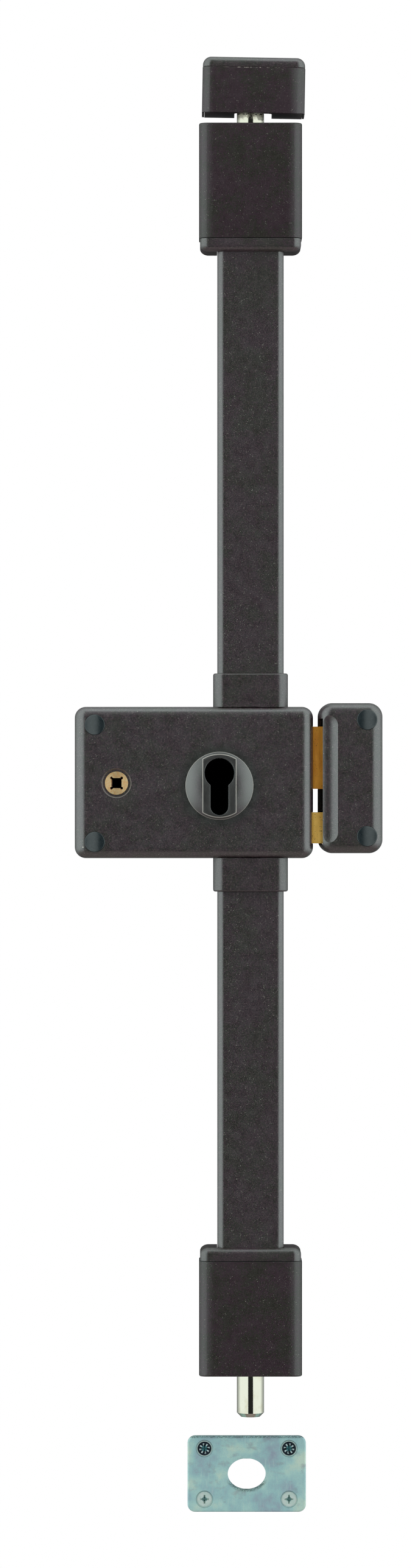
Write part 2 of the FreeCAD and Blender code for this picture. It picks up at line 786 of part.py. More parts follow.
def make_detent_blade():
    """The bent spring strip under the case's top wall, with its tip in the plate's first notch."""
    body = new_body("detent_blade")
    step = f"{CASE_IN_TOP} - plate_margin - plate_step"
    ceiling = CASE_IN_TOP
    back = "plate_back + plate_thick / 2 - blade_width / 2"
    flat = "(3 * blade_notch)"
    pad(
        body, "XZ_Plane", back, "blade_width", draw_polygon,
        [
            (f"{BLADE_X} - 3 * {flat}", ceiling), (f"{BLADE_X} - 2 * {flat}", ceiling),
            (BLADE_X, f"{step} - blade_notch + 2 * blade_thick"),
            (f"{BLADE_X} + {flat}", f"{ceiling} - 2 * blade_thick"),
            (f"{BLADE_X} + {flat}", f"{ceiling} - 3 * blade_thick"),
            (BLADE_X, f"{step} - blade_notch + blade_thick"),
            (f"{BLADE_X} - 2 * {flat} - blade_thick", f"{ceiling} - blade_thick"),
            (f"{BLADE_X} - 3 * {flat}", f"{ceiling} - blade_thick"),
        ],
    )


def make_dead_bolt_head():
    """The brass block, stepped at the back where the plate is riveted to it."""
    body = new_body("dead_bolt_head")
    pad(
        body, "XZ_Plane", "bolt_back", "bolt_front - bolt_back",
        draw_rectangle, BOLT_TAIL, BOLT_TIP, "bolt_low", "bolt_high",
    )
    pocket(
        body, "XZ_Plane", "bolt_back", f"{PLATE_FRONT} - bolt_back",
        draw_rectangle, BOLT_TAIL, f"{BOLT_LAP_END} + press_gap", "bolt_low", "bolt_high",
    )
    for z in RIVET_HEIGHTS:
        pocket(
            body, "XZ_Plane", PLATE_FRONT, "rivet_length - plate_thick",
            draw_circle, RIVET_X, z, "rivet_radius + press_gap",
        )
    chamfer(body, "bolt_bevel", lies_at("x", BOLT_TIP))


def make_dead_bolt_rivets():
    members = [
        cylinder(
            "dead_bolt_rivet", "rivet_radius", "rivet_length",
            RIVET_X, "-plate_back", z, FORWARD,
        )
        for z in RIVET_HEIGHTS
    ]
    group("dead_bolt_rivets", members)


def make_guide_studs():
    """Shouldered studs on the back plate that the dead bolt plate slides along."""
    members = []
    for z in STUD_HEIGHTS:
        stud = document.addObject("PartDesign::Body", "bolt_guide_stud")
        pad(stud, "XZ_Plane", "back_thick", f"{PLATE_FRONT} + slide_gap - back_thick",
            draw_circle, "stud_x", z, "stud_radius")
        pad(stud, "XZ_Plane", "back_thick", "plate_back - slide_gap - back_thick",
            draw_circle, "stud_x", z, "stud_head")
        pad(stud, "XZ_Plane", f"{PLATE_FRONT} + slide_gap", "stud_head_thick",
            draw_circle, "stud_x", z, "stud_head")
        members.append(stud)
    group("bolt_guide_studs", members)


def make_latch_head():
    """The brass latch, bevelled at the back of its nose, with a slot for the tail's tongue."""
    body = new_body("latch_head")
    pad(
        body, "XZ_Plane", "latch_back", "latch_front - latch_back",
        draw_rectangle, LATCH_TAIL, LATCH_TIP, LATCH_LOW, LATCH_HIGH,
    )
    pocket(
        body, "YZ_Plane", LATCH_TAIL, "tail_tongue",
        draw_rectangle, f"-{TAIL_FRONT} - press_gap", "-tail_back + press_gap",
        f"{TAIL_LOW} - press_gap", f"{TAIL_HIGH} + press_gap",
    )
    pocket(
        body, "XZ_Plane", "latch_back", "latch_front - latch_back - bolt_bevel",
        draw_circle, f"{LATCH_TAIL} + tail_tongue / 2", TAIL_MIDDLE, "pin_radius + press_gap",
    )
    pocket(
        body, "XY_Plane", LATCH_LOW, "latch_height", draw_polygon,
        [
            (f"{LATCH_TIP} + layer_gap", "-latch_back + layer_gap"),
            ("backset + seat_gap", "-latch_back + layer_gap"),
            ("backset + seat_gap", "-latch_back"),
            (LATCH_TIP, "-latch_front + latch_tip"),
            (f"{LATCH_TIP} + layer_gap", "-latch_front + latch_tip"),
        ],
    )


def make_latch_tail():
    """The steel strip from the latch to the follower, with a bent tab and a lug for the spring."""
    body = new_body("latch_tail")
    end = f"{LATCH_TAIL} + tail_tongue - press_gap"
    pad(
        body, "XZ_Plane", "tail_back", "tail_thick", draw_polygon,
        [
            (f"{TAB_RIGHT} - tab_thick", TAIL_LOW), ("lug_x", TAIL_LOW), ("lug_x", LUG_LOW),
            ("lug_x + lug_thick", LUG_LOW), ("lug_x + lug_thick", TAIL_LOW), (end, TAIL_LOW),
            (end, TAIL_HIGH), (f"{TAB_RIGHT} - tab_thick", TAIL_HIGH),
        ],
    )
    pad(
        body, "XZ_Plane", "tail_back", "tab_front - tail_back",
        draw_rectangle, f"{TAB_RIGHT} - tab_thick", TAB_RIGHT, TAIL_LOW, f"{TAIL_HIGH} + tab_rise",
    )
    pocket(
        body, "XZ_Plane", "tail_back", "tail_thick",
        draw_circle, f"{LATCH_TAIL} + tail_tongue / 2", TAIL_MIDDLE, "pin_radius + press_gap",
    )


def make_latch_pin():
    nodes["latch_pin"] = cylinder(
        "latch_pin", "pin_radius", "latch_front - latch_back - bolt_bevel - press_gap",
        f"{LATCH_TAIL} + tail_tongue / 2", "-latch_back", TAIL_MIDDLE, FORWARD,
    )


def make_spring_post():
    """The tab on the case's bottom wall that backs the spring, with a pin to keep the spring straight."""
    body = new_body("latch_spring_post")
    pad(
        body, "YZ_Plane", "spring_post_x", "lug_thick",
        draw_rectangle, f"-{SPRING_DEPTH} - spring_radius - spring_wire",
        f"-{SPRING_DEPTH} + spring_radius + spring_wire",
        CASE_IN_LOW, f"{TAIL_LOW} - slide_gap - spring_wire",
    )
    pad(
        body, "YZ_Plane", "spring_post_x + lug_thick",
        "lug_x - spring_post_x - lug_thick - latch_travel - tab_gap",
        draw_circle, f"-{SPRING_DEPTH}", SPRING_Z, "spring_radius - spring_wire",
    )


def make_spring():
    """The latch's return spring, a helix between the post and the tail's lug."""
    start = number("spring_post_x + lug_thick + spring_wire / 2 + press_gap")
    end = number("lug_x - spring_wire / 2 - press_gap")
    mean = number("spring_radius")
    turns = number("spring_turns")
    helix = Part.makeHelix((end - start) / turns, end - start, mean)
    circle = Part.makeCircle(
        number("spring_wire") / 2, FreeCAD.Vector(mean, 0, 0), FreeCAD.Vector(0, 1, 0)
    )
    coil = Part.Wire(helix.Edges).makePipeShell([Part.Wire(circle)], True, True)
    item = document.addObject("Part::Feature", "latch_spring")
    item.Label = "latch_spring"
    item.Shape = coil
    item.Placement = FreeCAD.Placement(
        FreeCAD.Vector(start, -number(SPRING_DEPTH), number(SPRING_Z)),
        FreeCAD.Rotation(FreeCAD.Vector(0, 0, 1), RIGHT),
    )
    nodes["latch_spring"] = item


class Side:
    """One end of the lock: its name, its sense along Z and the places that belong to it."""

    def __init__(self, name, sense, case_edge, drive, end, reach):
        self.name = name
        self.sense = sense
        self.case_edge = case_edge
        self.drive = drive
        self.end = end
        self.reach = reach
        self.cover_end = f"({end} - guide_length - end_cap_length + cover_tuck)"

    def span(self, near, far):
        """Where a piece starts along Z, for a piece between two distances from the origin."""
        return near if self.sense > 0 else f"-({far})"

    def at(self, distance):
        return distance if self.sense > 0 else f"-({distance})"


UPPER = Side("upper", 1, "case_top", UPPER_DRIVE, "upper_end", "upper_reach")
LOWER = Side("lower", -1, "(case_height - case_top)", LOWER_DRIVE, "lower_end", "lower_reach")


def make_channel(
    label, side, near, far, width, depth, inner_width, inner_depth, edge, inner_edge, far_edge=None,
):
    """A channel open towards the door, rounded along its front and, if asked, round its far end."""
    body = new_body(label)
    start = side.span(near, far)
    length = f"({far}) - ({near})"
    pad(
        body, "XY_Plane", start, length,
        draw_rectangle, f"rod_x - {width} / 2", f"rod_x + {width} / 2", f"-{depth}", "0",
    )
    fillet(body, edge, all_of(runs_along("z"), lies_at("y", f"-{depth}")))
    if far_edge:
        fillet(body, far_edge, all_of(runs_along("y"), lies_at("z", side.at(far))))
    pocket(
        body, "XY_Plane", start, length,
        draw_rounded, f"rod_x - {inner_width} / 2", f"rod_x + {inner_width} / 2",
        f"-{inner_depth}", inner_edge, inner_edge,
    )


def make_sleeve(side):
    """The plastic collar against the case that the long cover slides into."""
    make_channel(
        f"{side.name}_sleeve", side, side.case_edge, f"{side.case_edge} + sleeve_length",
        SLEEVE_WIDTH, SLEEVE_DEPTH,
        "(cover_width + 2 * seat_gap)", "(cover_depth + seat_gap)",
        "cover_edge + sleeve_wall", "cover_edge", "sleeve_end_edge",
    )


def make_cover(side):
    """The long painted cover over the rod, from inside the sleeve to inside the end cap."""
    make_channel(
        f"{side.name}_rod_cover", side,
        f"{side.case_edge} + seat_gap", side.cover_end,
        "cover_width", "cover_depth",
        "(cover_width - 2 * cover_wall)", "(cover_depth - cover_wall)",
        "cover_edge", "cover_edge - cover_wall",
    )


def make_bar(side):
    """The flat steel bar from the drive pin to the round bolt."""
    body = new_body(f"{side.name}_rod_bar")
    near = f"{side.drive} - bar_end_margin"
    far = f"{side.end} - bolt_run + bar_inset"
    pad(
        body, "XY_Plane", side.span(near, far), f"({far}) - ({near})",
        draw_rectangle, "rod_x - bar_width / 2", "rod_x + bar_width / 2",
        f"-{BAR_FRONT}", f"-{BAR_BACK}",
    )
    joint = f"{side.end} - bolt_run + bar_inset / 2"
    for distance, radius in ((side.drive, "drive_radius"), (joint, "pin_radius")):
        pocket(
            body, "XZ_Plane", BAR_BACK, "bar_thick",
            draw_circle, "rod_x", side.at(distance), f"{radius} + press_gap",
        )


def make_rod_pins(side):
    """The drive pin that runs in the plate's slanted slot, and the cross pin that holds the bolt."""
    nodes[f"{side.name}_drive_pin"] = cylinder(
        f"{side.name}_drive_pin", "drive_radius", f"{BAR_FRONT} - plate_back",
        "rod_x", "-plate_back", side.at(side.drive), FORWARD,
    )
    nodes[f"{side.name}_joint_pin"] = cylinder(
        f"{side.name}_joint_pin", "pin_radius", "2 * rod_radius - 2 * press_gap - bolt_bevel",
        "rod_x", "-rod_depth + rod_radius - press_gap - bolt_bevel / 2",
        side.at(f"{side.end} - bolt_run + bar_inset / 2"), FORWARD,
    )


def make_shoot_bolt(side):
    """The round bolt with a bevelled tip, slotted at its inner end for the bar."""
    body = new_body(f"{side.name}_shoot_bolt")
    near = f"{side.end} - bolt_run"
    far = f"{side.end} + {side.reach}"
    start = side.span(near, far)
    pad(body, "XY_Plane", start, f"({far}) - ({near})", draw_circle, "rod_x", "-rod_depth", "rod_radius")
    chamfer(body, "rod_bevel", lies_at("z", side.at(far)))
    slot_end = f"{near} + bar_inset + press_gap"
    pocket(
        body, "XY_Plane", side.span(near, slot_end), f"({slot_end}) - ({near})",
        draw_rectangle, "rod_x - bar_width / 2 - press_gap", "rod_x + bar_width / 2 + press_gap",
        f"-{BAR_FRONT} - press_gap", f"-{BAR_BACK} + press_gap",
    )
    pocket(
        body, "XZ_Plane", "rod_depth - rod_radius", "2 * rod_radius",
        draw_circle, "rod_x", side.at(f"{near} + bar_inset / 2"), "pin_radius + press_gap",
    )


def make_bracket(side):
    """The steel guide on the door: a base with two upright lugs that the round bolt runs through."""
    body = new_body(f"{side.name}_guide_bracket")
    near = f"{side.cover_end} + bracket_ends"
    far = f"{side.end} - guide_wall - bracket_ends"
    pad(
        body, "XY_Plane", side.span(near, far), f"({far}) - ({near})",
        draw_rectangle, f"rod_x - {BRACKET_WIDTH} / 2", f"rod_x + {BRACKET_WIDTH} / 2",
        "-bracket_thick", "0",
    )
    for distance in ("outer_lug", "inner_lug"):
        lug_near = f"{side.end} - {distance}"
        lug_far = f"{lug_near} + lug_plate"
        pad(
            body, "XY_Plane", side.span(lug_near, lug_far), "lug_plate",
            draw_rectangle, "rod_x - lug_width / 2", "rod_x + lug_width / 2",
            "-rod_depth - rod_radius - lug_plate", "0",
        )
        pocket(
            body, "XY_Plane", side.span(lug_near, lug_far), "lug_plate",
            draw_circle, "rod_x", "-rod_depth", "rod_radius + running_gap",
        )
    for x in (f"rod_x - {BRACKET_SCREW_X}", f"rod_x + {BRACKET_SCREW_X}"):
        for distance in (f"{near} + bracket_screw_z", f"{far} - bracket_screw_z"):
            z = side.at(distance)
            pocket(body, "XZ_Plane", GROUND, "bracket_thick", draw_circle, x, z, "screw_hole")


def make_guide_cover(side):
    """The painted box over the guide, open at the back and at its inner end."""
    body = new_body(f"{side.name}_guide_cover")
    near = f"{side.end} - guide_length"
    pad(
        body, "XY_Plane", side.span(near, side.end), "guide_length",
        draw_rectangle, "rod_x - guide_width / 2", "rod_x + guide_width / 2", "-guide_depth", "0",
    )
    fillet(body, "guide_edge", all_of(runs_along("z"), lies_at("y", "-guide_depth")))
    far = f"{side.end} - guide_wall"
    inner_edge = "guide_edge - guide_wall"
    pocket(
        body, "XY_Plane", side.span(near, far), "guide_length - guide_wall",
        draw_rounded, "rod_x - guide_width / 2 + guide_wall", "rod_x + guide_width / 2 - guide_wall",
        "-guide_depth + guide_wall", inner_edge, inner_edge,
    )
    pocket(
        body, "XY_Plane", side.span(far, side.end), "guide_wall",
        draw_circle, "rod_x", "-rod_depth", "rod_radius + mouth_gap",
    )
    rim = lies_at("z", side.at(near))
    back = lies_at("y", "0")
    end = lies_at("z", side.at(side.end))
    mouth = is_circle("rod_x", "rod_radius + mouth_gap")
    fillet(body, "guide_end_edge", lambda edge: end(edge) and not (rim(edge) or back(edge) or mouth(edge)))


def make_end_cap(side):
    """The cap that closes the guide box round the long cover."""
    body = new_body(f"{side.name}_end_cap")
    far = f"{side.end} - guide_length"
    near = f"{far} - end_cap_length"
    face = side.at(near)
    pad(
        body, "XY_Plane", side.span(near, far), "end_cap_length",
        draw_rectangle, f"rod_x - {END_CAP_WIDTH} / 2", f"rod_x + {END_CAP_WIDTH} / 2", "-guide_depth", "0",
    )
    fillet(body, "end_cap_edge", all_of(runs_along("y"), lies_at("z", face)))
    front = lies_at("y", "-guide_depth")
    rim = lies_at("z", side.at(far))
    fillet(body, "guide_edge", lambda edge: front(edge) and not rim(edge))
    hollow_near = f"{near} + guide_wall"
    pocket(
        body, "XY_Plane", side.span(hollow_near, far), "end_cap_length - guide_wall",
        draw_rectangle, f"rod_x - {END_CAP_WIDTH} / 2 + end_cap_edge",
        f"rod_x + {END_CAP_WIDTH} / 2 - end_cap_edge", "-guide_depth + guide_wall", "0",
    )
    pocket(
        body, "XY_Plane", side.span(near, hollow_near), "guide_wall",
        draw_rectangle, "rod_x - cover_width / 2 - seat_gap", "rod_x + cover_width / 2 + seat_gap",
        "-cover_depth - seat_gap", "0",
    )


def lean(body):
    """Turns a keeper piece a little clockwise about the keeper's middle, seen from the front."""
    turn = FreeCAD.Rotation(FreeCAD.Vector(0, 1, 0), number("keeper_lean"))
    centre = FreeCAD.Vector(number("keeper_x"), 0, number("keeper_low + keeper_length / 2"))
    body.Placement = FreeCAD.Placement(FreeCAD.Vector(), turn, centre)


def make_keeper_bracket():
    """The steel keeper: a notched shelf for the bolt and an upright plate on the frame."""
    body = new_body("upper_keeper_bracket")
    low = "keeper_low + keeper_sunk"
    half = "(keeper_width / 2 - keeper_wall - seat_gap)"
    pad(
        body, "XY_Plane", low, "keeper_plate",
        draw_rectangle, f"keeper_x - {half}", f"keeper_x + {half}",
        "-guide_depth + keeper_wall + seat_gap", "0",
    )
    front_corner = all_of(runs_along("z"), lies_at("y", "-guide_depth + keeper_wall + seat_gap"))
    fillet(body, "guide_edge - keeper_wall", front_corner)
    shelf_top = f"{low} + keeper_plate"
    box_top = "keeper_low + keeper_length"
    pad(
        body, "XY_Plane", shelf_top, f"{box_top} - ({shelf_top}) - seat_gap",
        draw_rectangle, f"keeper_x - {half}", f"keeper_x + {half}", "-keeper_plate", "0",
    )
    pocket(
        body, "XY_Plane", low, "keeper_plate",
        draw_rectangle, "keeper_x - keeper_notch / 2", "keeper_x + keeper_notch / 2",
        "-keeper_notch_depth", "0",
    )
    notch_corner = all_of(
        runs_along("z"), lies_at("y", "-keeper_notch_depth"),
        any_of(lies_at("x", "keeper_x - keeper_notch / 2"), lies_at("x", "keeper_x + keeper_notch / 2")),
    )
    fillet(body, "keeper_notch_corner", notch_corner)
    for x in ("keeper_x - keeper_screw_x", "keeper_x + keeper_screw_x"):
        pocket(
            body, "XZ_Plane", GROUND, "keeper_plate",
            draw_circle, x, f"{low} + keeper_length / 2", "screw_hole",
        )
    lean(body)


def make_keeper_cover():
    body = new_body("upper_keeper_cover")
    pad(
        body, "XY_Plane", "keeper_low", "keeper_length",
        draw_rectangle, "keeper_x - keeper_width / 2", "keeper_x + keeper_width / 2", "-guide_depth", "0",
    )
    fillet(body, "guide_edge", all_of(runs_along("z"), lies_at("y", "-guide_depth")))
    inner_edge = "guide_edge - keeper_wall"
    pocket(
        body, "XY_Plane", "keeper_low", "keeper_length",
        draw_rounded, "keeper_x - keeper_width / 2 + keeper_wall",
        "keeper_x + keeper_width / 2 - keeper_wall",
        "-guide_depth + keeper_wall", inner_edge, inner_edge,
    )
    lean(body)


def make_keeper_cap():
    body = new_body("upper_keeper_cap")
    base = "keeper_low + keeper_length"
    top = f"{base} + keeper_cap"
    half = "(keeper_width / 2 - seat_gap)"
    pad(
        body, "XY_Plane", base, "keeper_cap",
        draw_rectangle, f"keeper_x - {half}", f"keeper_x + {half}", "-guide_depth", "0",
    )
    fillet(body, "end_cap_edge", all_of(runs_along("y"), lies_at("z", top)))
    front = lies_at("y", "-guide_depth")
    rim = lies_at("z", base)
    fillet(body, "guide_edge", lambda edge: front(edge) and not rim(edge))
    lean(body)


def make_strike_box():
    """The box that takes the bolts: a rounded cover with a creased scoop along its left side."""
    body = new_body("strike_box")
    pad(
        body, "XZ_Plane", GROUND, "strike_depth",
        draw_rounded, "strike_left", "strike_right", "strike_low", "strike_high", "strike_corner",
    )
    fillet(body, "strike_edge", lies_at("y", "-strike_depth"))
    inner_corner = "(strike_corner - strike_wall)"
    pocket(
        body, "XZ_Plane", GROUND, "pocket_depth", draw_rounded,
        "strike_left + strike_wall", "strike_right - strike_wall",
        "strike_low + strike_wall", "strike_high - strike_wall", inner_corner,
    )
    pocket(
        body, "XZ_Plane", GROUND, "strike_depth - strike_wall", draw_rounded,
        "crease_x + strike_wall", "strike_right - strike_wall",
        "strike_low + strike_wall", "strike_high - strike_wall", inner_corner,
    )
    fillet(body, "strike_inner_edge", lies_at("y", "-(strike_depth - strike_wall)"))
    for length, front in (("strike_corner", "pocket_depth"), ("mouth_lip", "strike_depth")):
        pocket(
            body, "YZ_Plane", "strike_left", length,
            draw_rectangle, f"-{front}", "-mouth_back", "mouth_low", "mouth_high",
        )
    for z in STRIKE_SCREW_HEIGHTS:
        pocket(
            body, "XZ_Plane", "strike_depth - strike_wall", "strike_wall",
            draw_circle, "strike_screw_x", z, "cap_radius + press_gap",
        )
    half_chord = "sqrt(scoop_sunk * (2 * scoop_radius - scoop_sunk))"
    scoop_x = f"crease_x - {half_chord}"
    scoop_y = "-(strike_depth + scoop_radius - scoop_sunk)"
    scoop = body.newObject("PartDesign::SubtractiveCylinder", "strike_scoop")
    attach(scoop, body, "XY_Plane", "scoop_low", scoop_x, scoop_y)
    bind(scoop, "Radius", "scoop_radius")
    bind(scoop, "Height", "scoop_high - scoop_low")
    for z in ("scoop_high", "scoop_low"):
        end = body.newObject("PartDesign::SubtractiveSphere", "strike_scoop_end")
        attach(end, body, "XY_Plane", z, scoop_x, scoop_y)
        bind(end, "Radius", "scoop_radius")


def make_strike_base():
    body = new_body("strike_base")
    inset = "strike_wall + seat_gap"
    pad(
        body, "XZ_Plane", GROUND, "back_thick", draw_rounded,
        f"strike_left + {inset}", f"strike_right - ({inset})",
        f"strike_low + {inset}", f"strike_high - ({inset})", "(strike_corner - strike_wall)",
    )
    for z in STRIKE_SCREW_HEIGHTS:
        pocket(body, "XZ_Plane", GROUND, "back_thick", draw_circle, "strike_screw_x", z, "screw_hole")


def make_floor_keeper():
    """The flat plate that the lower bolt drops into, with four sunk screw holes."""
    body = new_body("floor_keeper_plate")
    pad(
        body, "XZ_Plane", GROUND, "floor_thick", draw_rounded,
        "floor_x - floor_width / 2", "floor_x + floor_width / 2",
        "floor_z - floor_height / 2", "floor_z + floor_height / 2", "floor_corner",
    )
    fillet(body, "floor_edge", lies_at("y", "-floor_thick"))
    half = "(floor_hole_width / 2 - floor_hole_height / 2)"
    pocket(
        body, "XZ_Plane", GROUND, "floor_thick",
        draw_slot, (f"floor_x - {half}", "floor_z"), (f"floor_x + {half}", "floor_z"),
        "floor_hole_height / 2",
    )
    for x, z in floor_screws():
        pocket(body, "XZ_Plane", GROUND, "floor_thick", draw_circle, x, z, "floor_neck + seat_gap")
        sink = body.newObject("PartDesign::SubtractiveCone", "floor_sink")
        attach(sink, body, "XZ_Plane", "floor_neck + floor_thick - floor_sink_radius", x, z)
        bind(sink, "Radius1", "floor_neck")
        bind(sink, "Radius2", "floor_sink_radius")
        bind(sink, "Height", "floor_sink_radius - floor_neck")


def floor_screws():
    return [
        (f"floor_x {across} floor_screw_x / 2", f"floor_z {up} floor_screw_z / 2")
        for up in "+-"
        for across in "-+"
    ]


def make_floor_screws():
    """Sunk screws with a cross recess; their shanks stand out behind the plate."""
    members = []
    for x, z in floor_screws():
        screw = document.addObject("PartDesign::Body", "floor_keeper_screw")
        front = "(floor_thick - floor_sink_radius + floor_head_radius + seat_gap)"
        head = "(floor_head_radius - floor_neck)"
        cone = screw.newObject("PartDesign::AdditiveCone", "screw_head")
        attach(cone, screw, "XZ_Plane", f"{front} - {head}", x, z)
        bind(cone, "Radius1", "floor_neck")
        bind(cone, "Radius2", "floor_head_radius")
        bind(cone, "Height", head)
        pad(screw, "XZ_Plane", GROUND, f"{front} - {head}", draw_circle, x, z, "floor_neck")
        pad(
            screw, "XZ_Plane", f"{front} - floor_screw_length", f"floor_screw_length - {front}",
            draw_circle, x, z, "floor_shank",
        )
        for wide, tall in (("recess_reach", "recess_width / 2"), ("recess_width / 2", "recess_reach")):
            pocket(
                screw, "XZ_Plane", f"{front} - recess_depth", "recess_depth", draw_rectangle,
                f"{x} - {wide}", f"{x} + {wide}", f"{z} - {tall}", f"{z} + {tall}",
            )
        members.append(screw)
    group("floor_keeper_screws", members)


def make_all():
    make_case()
    make_back_plate()
    make_pillars(
        "case_pillars", CASE_SCREW_X, CASE_SCREW_HEIGHTS,
        "back_thick", "(case_depth - cap_thick - seat_gap)",
    )
    make_caps("case_screw_caps", CASE_SCREW_X, CASE_SCREW_HEIGHTS, "case_depth")
    make_rosette()
    make_follower()
    make_dead_bolt_plate()
    make_detent_blade()
    make_dead_bolt_head()
    make_dead_bolt_rivets()
    make_guide_studs()
    make_latch_head()
    make_latch_tail()
    make_latch_pin()
    make_spring_post()
    make_spring()
    for side in (UPPER, LOWER):
        make_sleeve(side)
        make_cover(side)
        make_bar(side)
        make_rod_pins(side)
        make_shoot_bolt(side)
        make_bracket(side)
        make_guide_cover(side)
        make_end_cap(side)
    make_keeper_bracket()
    make_keeper_cover()
    make_keeper_cap()
    make_strike_box()
    make_strike_base()
    make_pillars(
        "strike_pillars", "strike_screw_x", STRIKE_SCREW_HEIGHTS,
        "back_thick", "(strike_depth - cap_thick - seat_gap)",
    )
    make_caps("strike_screw_caps", "strike_screw_x", STRIKE_SCREW_HEIGHTS, "strike_depth")
    make_floor_keeper()
    make_floor_screws()


def check_all():
    """Stops before anything is written if a feature failed, cut nothing, or left no valid shape."""
    for item in document.Objects:
        if "Invalid" in item.State or "Error" in item.State:
            raise RuntimeError(f"{item.Name} failed: {item.State}")
        if item.TypeId.startswith(("PartDesign::Pocket", "PartDesign::Subtractive")):
            if item.Shape.Volume > item.BaseFeature.Shape.Volume - TINY:
                raise RuntimeError(f"{item.Name} cuts nothing")
    for label, item in nodes.items():
        if item.Shape.isNull() or not item.Shape.isValid():
            raise RuntimeError(f"{label} has no valid shape")


make_all()
document.recompute()
check_all()
os.makedirs("parts", exist_ok=True)
for label, item in nodes.items():
    item.Shape.exportStep(f"parts/{label}.step")
    print(label, len(item.Shape.Solids), round(item.Shape.Volume, 1))
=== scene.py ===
# %% [markdown]
# # A surface-mounted multipoint lock
#
# This lock is screwed to the inner face of a door. A painted case holds the works, brass bolts leave it
# sideways for the strike box, and two covered rods run up and down to keepers at the top and the floor.
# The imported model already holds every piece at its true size, so this lesson is about looks: a studio
# like the photographer's, a finish for every piece, and finer shapes for the few pieces whose small
# details catch the light.

import bmesh
import bpy
import json
import math
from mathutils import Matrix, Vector


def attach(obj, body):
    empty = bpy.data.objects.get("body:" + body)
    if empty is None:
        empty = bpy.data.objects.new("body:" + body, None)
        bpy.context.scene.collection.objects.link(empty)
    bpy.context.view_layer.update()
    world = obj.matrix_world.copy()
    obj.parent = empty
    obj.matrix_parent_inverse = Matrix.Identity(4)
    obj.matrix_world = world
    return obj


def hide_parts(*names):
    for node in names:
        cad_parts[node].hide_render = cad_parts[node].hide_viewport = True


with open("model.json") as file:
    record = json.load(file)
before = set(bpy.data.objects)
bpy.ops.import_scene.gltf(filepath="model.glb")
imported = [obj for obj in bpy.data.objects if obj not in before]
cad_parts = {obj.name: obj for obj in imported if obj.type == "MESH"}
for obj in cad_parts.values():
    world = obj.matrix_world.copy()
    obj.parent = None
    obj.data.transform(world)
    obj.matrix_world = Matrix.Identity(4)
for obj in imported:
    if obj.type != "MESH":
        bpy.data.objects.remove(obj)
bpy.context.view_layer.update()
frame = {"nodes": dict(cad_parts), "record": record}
nodes = frame["nodes"]
MM = 0.001

# %% [markdown]
# ## The camera
#
# The photograph looks straight at the lock, level, with hardly any perspective: the bolts' flanks don't
# show. A long lens from well over three metres does that. The picture's height is the longer side of the
# sensor, so one division gives the lens: sensor times distance over the height of what is seen.

# %% The camera
SEEN_HEIGHT = 920 * MM
DISTANCE = 3400 * MM
CASE_FRONT = -32 * MM
MIDDLE_X = -8.18 * MM
MIDDLE_Z = -6.43 * MM
SENSOR = 36

lens = bpy.data.cameras.new("studio_camera")
lens.sensor_width = SENSOR
lens.lens = SENSOR * DISTANCE / SEEN_HEIGHT
camera = bpy.data.objects.new("studio_camera", lens)
camera.location = (MIDDLE_X, CASE_FRONT - DISTANCE, MIDDLE_Z)
camera.rotation_euler = (math.pi / 2, 0, 0)
bpy.context.scene.collection.objects.link(camera)
bpy.context.scene.camera = camera
bpy.context.scene.view_settings.view_transform = "Standard"
print("lens", round(lens.lens, 1), "mm")

# %% [markdown]
# ## Wiring a node tree
#
# A material or a world is a small graph. This helper adds one node, sets what it is given, and wires the
# sockets that receive another node's output. Writing graphs this way keeps each finish a few lines long.

# %% A helper that adds one node


def add(tree, kind, choices=(), **sockets):
    """Adds a node. choices are its own settings; sockets are values, or outputs to wire in."""
    node = tree.nodes.new(kind)
    for name, value in dict(choices).items():
        setattr(node, name, value)
    for name, value in sockets.items():
        place = int(name[1:]) if name[1:].isdigit() else name.replace("_", " ")
        if isinstance(value, bpy.types.NodeSocket):
            tree.links.new(value, node.inputs[place])
        else:
            node.inputs[place].default_value = value
    return node


print("node helper ready")

# %% [markdown]
# ## Sums and slopes
#
# Light and patterns are both made of numbers that change from place to place. Two helpers do sums with
# them. Two more turn one range of values into another, either evenly or with softened ends.

# %% Sums and slopes


def reckon(tree, way, one, other=0.0):
    return add(tree, "ShaderNodeMath", {"operation": way}, _0=one, _1=other).outputs[0]


def times(tree, one, other):
    return reckon(tree, "MULTIPLY", one, other)


def steps(tree, value, low, high, start=0.0, end=1.0, kind="LINEAR"):
    """A value that goes evenly from start to end while another goes from low to high."""
    return add(
        tree, "ShaderNodeMapRange", {"interpolation_type": kind},
        Value=value, From_Min=low, From_Max=high, To_Min=start, To_Max=end,
    ).outputs[0]


def slope(tree, value, low, high, start=0.0, end=1.0):
    """The same with softened ends."""
    return steps(tree, value, low, high, start, end, "SMOOTHSTEP")


print("number helpers ready")

# %% [markdown]
# ## The light tent
#
# Product photographs of metal are made in a tent: white cloth on both sides, a lamp behind the cloth
# overhead, and a dark gap in front for the camera. On the nickel rods the gap shows as a thin dark
# stripe. The painted fronts look straight back into it and stay dark, while every rounded edge looks
# sideways or up into the cloth and turns pale. Two area lamps could do the same, but the rods would
# mirror small squares, so the whole tent is painted on the world. The camera itself sees plain white.
#
# Directions are given as parts of one: upwards is 1 straight up, 0 level and -1 straight down. The gap's
# size is how far it reaches sideways for each metre ahead.

# %% The light tent
GAP_MIDDLE = 0.03
GAP_HALF = 0.39
SOFT_EDGE = 0.012
CLOTH_LIGHT = 1.12
LAMP_LIGHT = 1.3
FLOOR_LIGHT = 0.26
GAP_LIGHT = 0.022
LAMP_START, LAMP_FULL = 0.90, 0.995
BEHIND_SHARE = 0.42
FAR_BEHIND_SHARE = 0.08
LOW_SHARE = 0.25
COOL_CLOTH = (0.89, 1.0, 0.98, 1.0)
WARM_FLOOR = (0.98, 0.90, 0.86, 1.0)
WHITE = (1.0, 1.0, 1.0, 1.0)

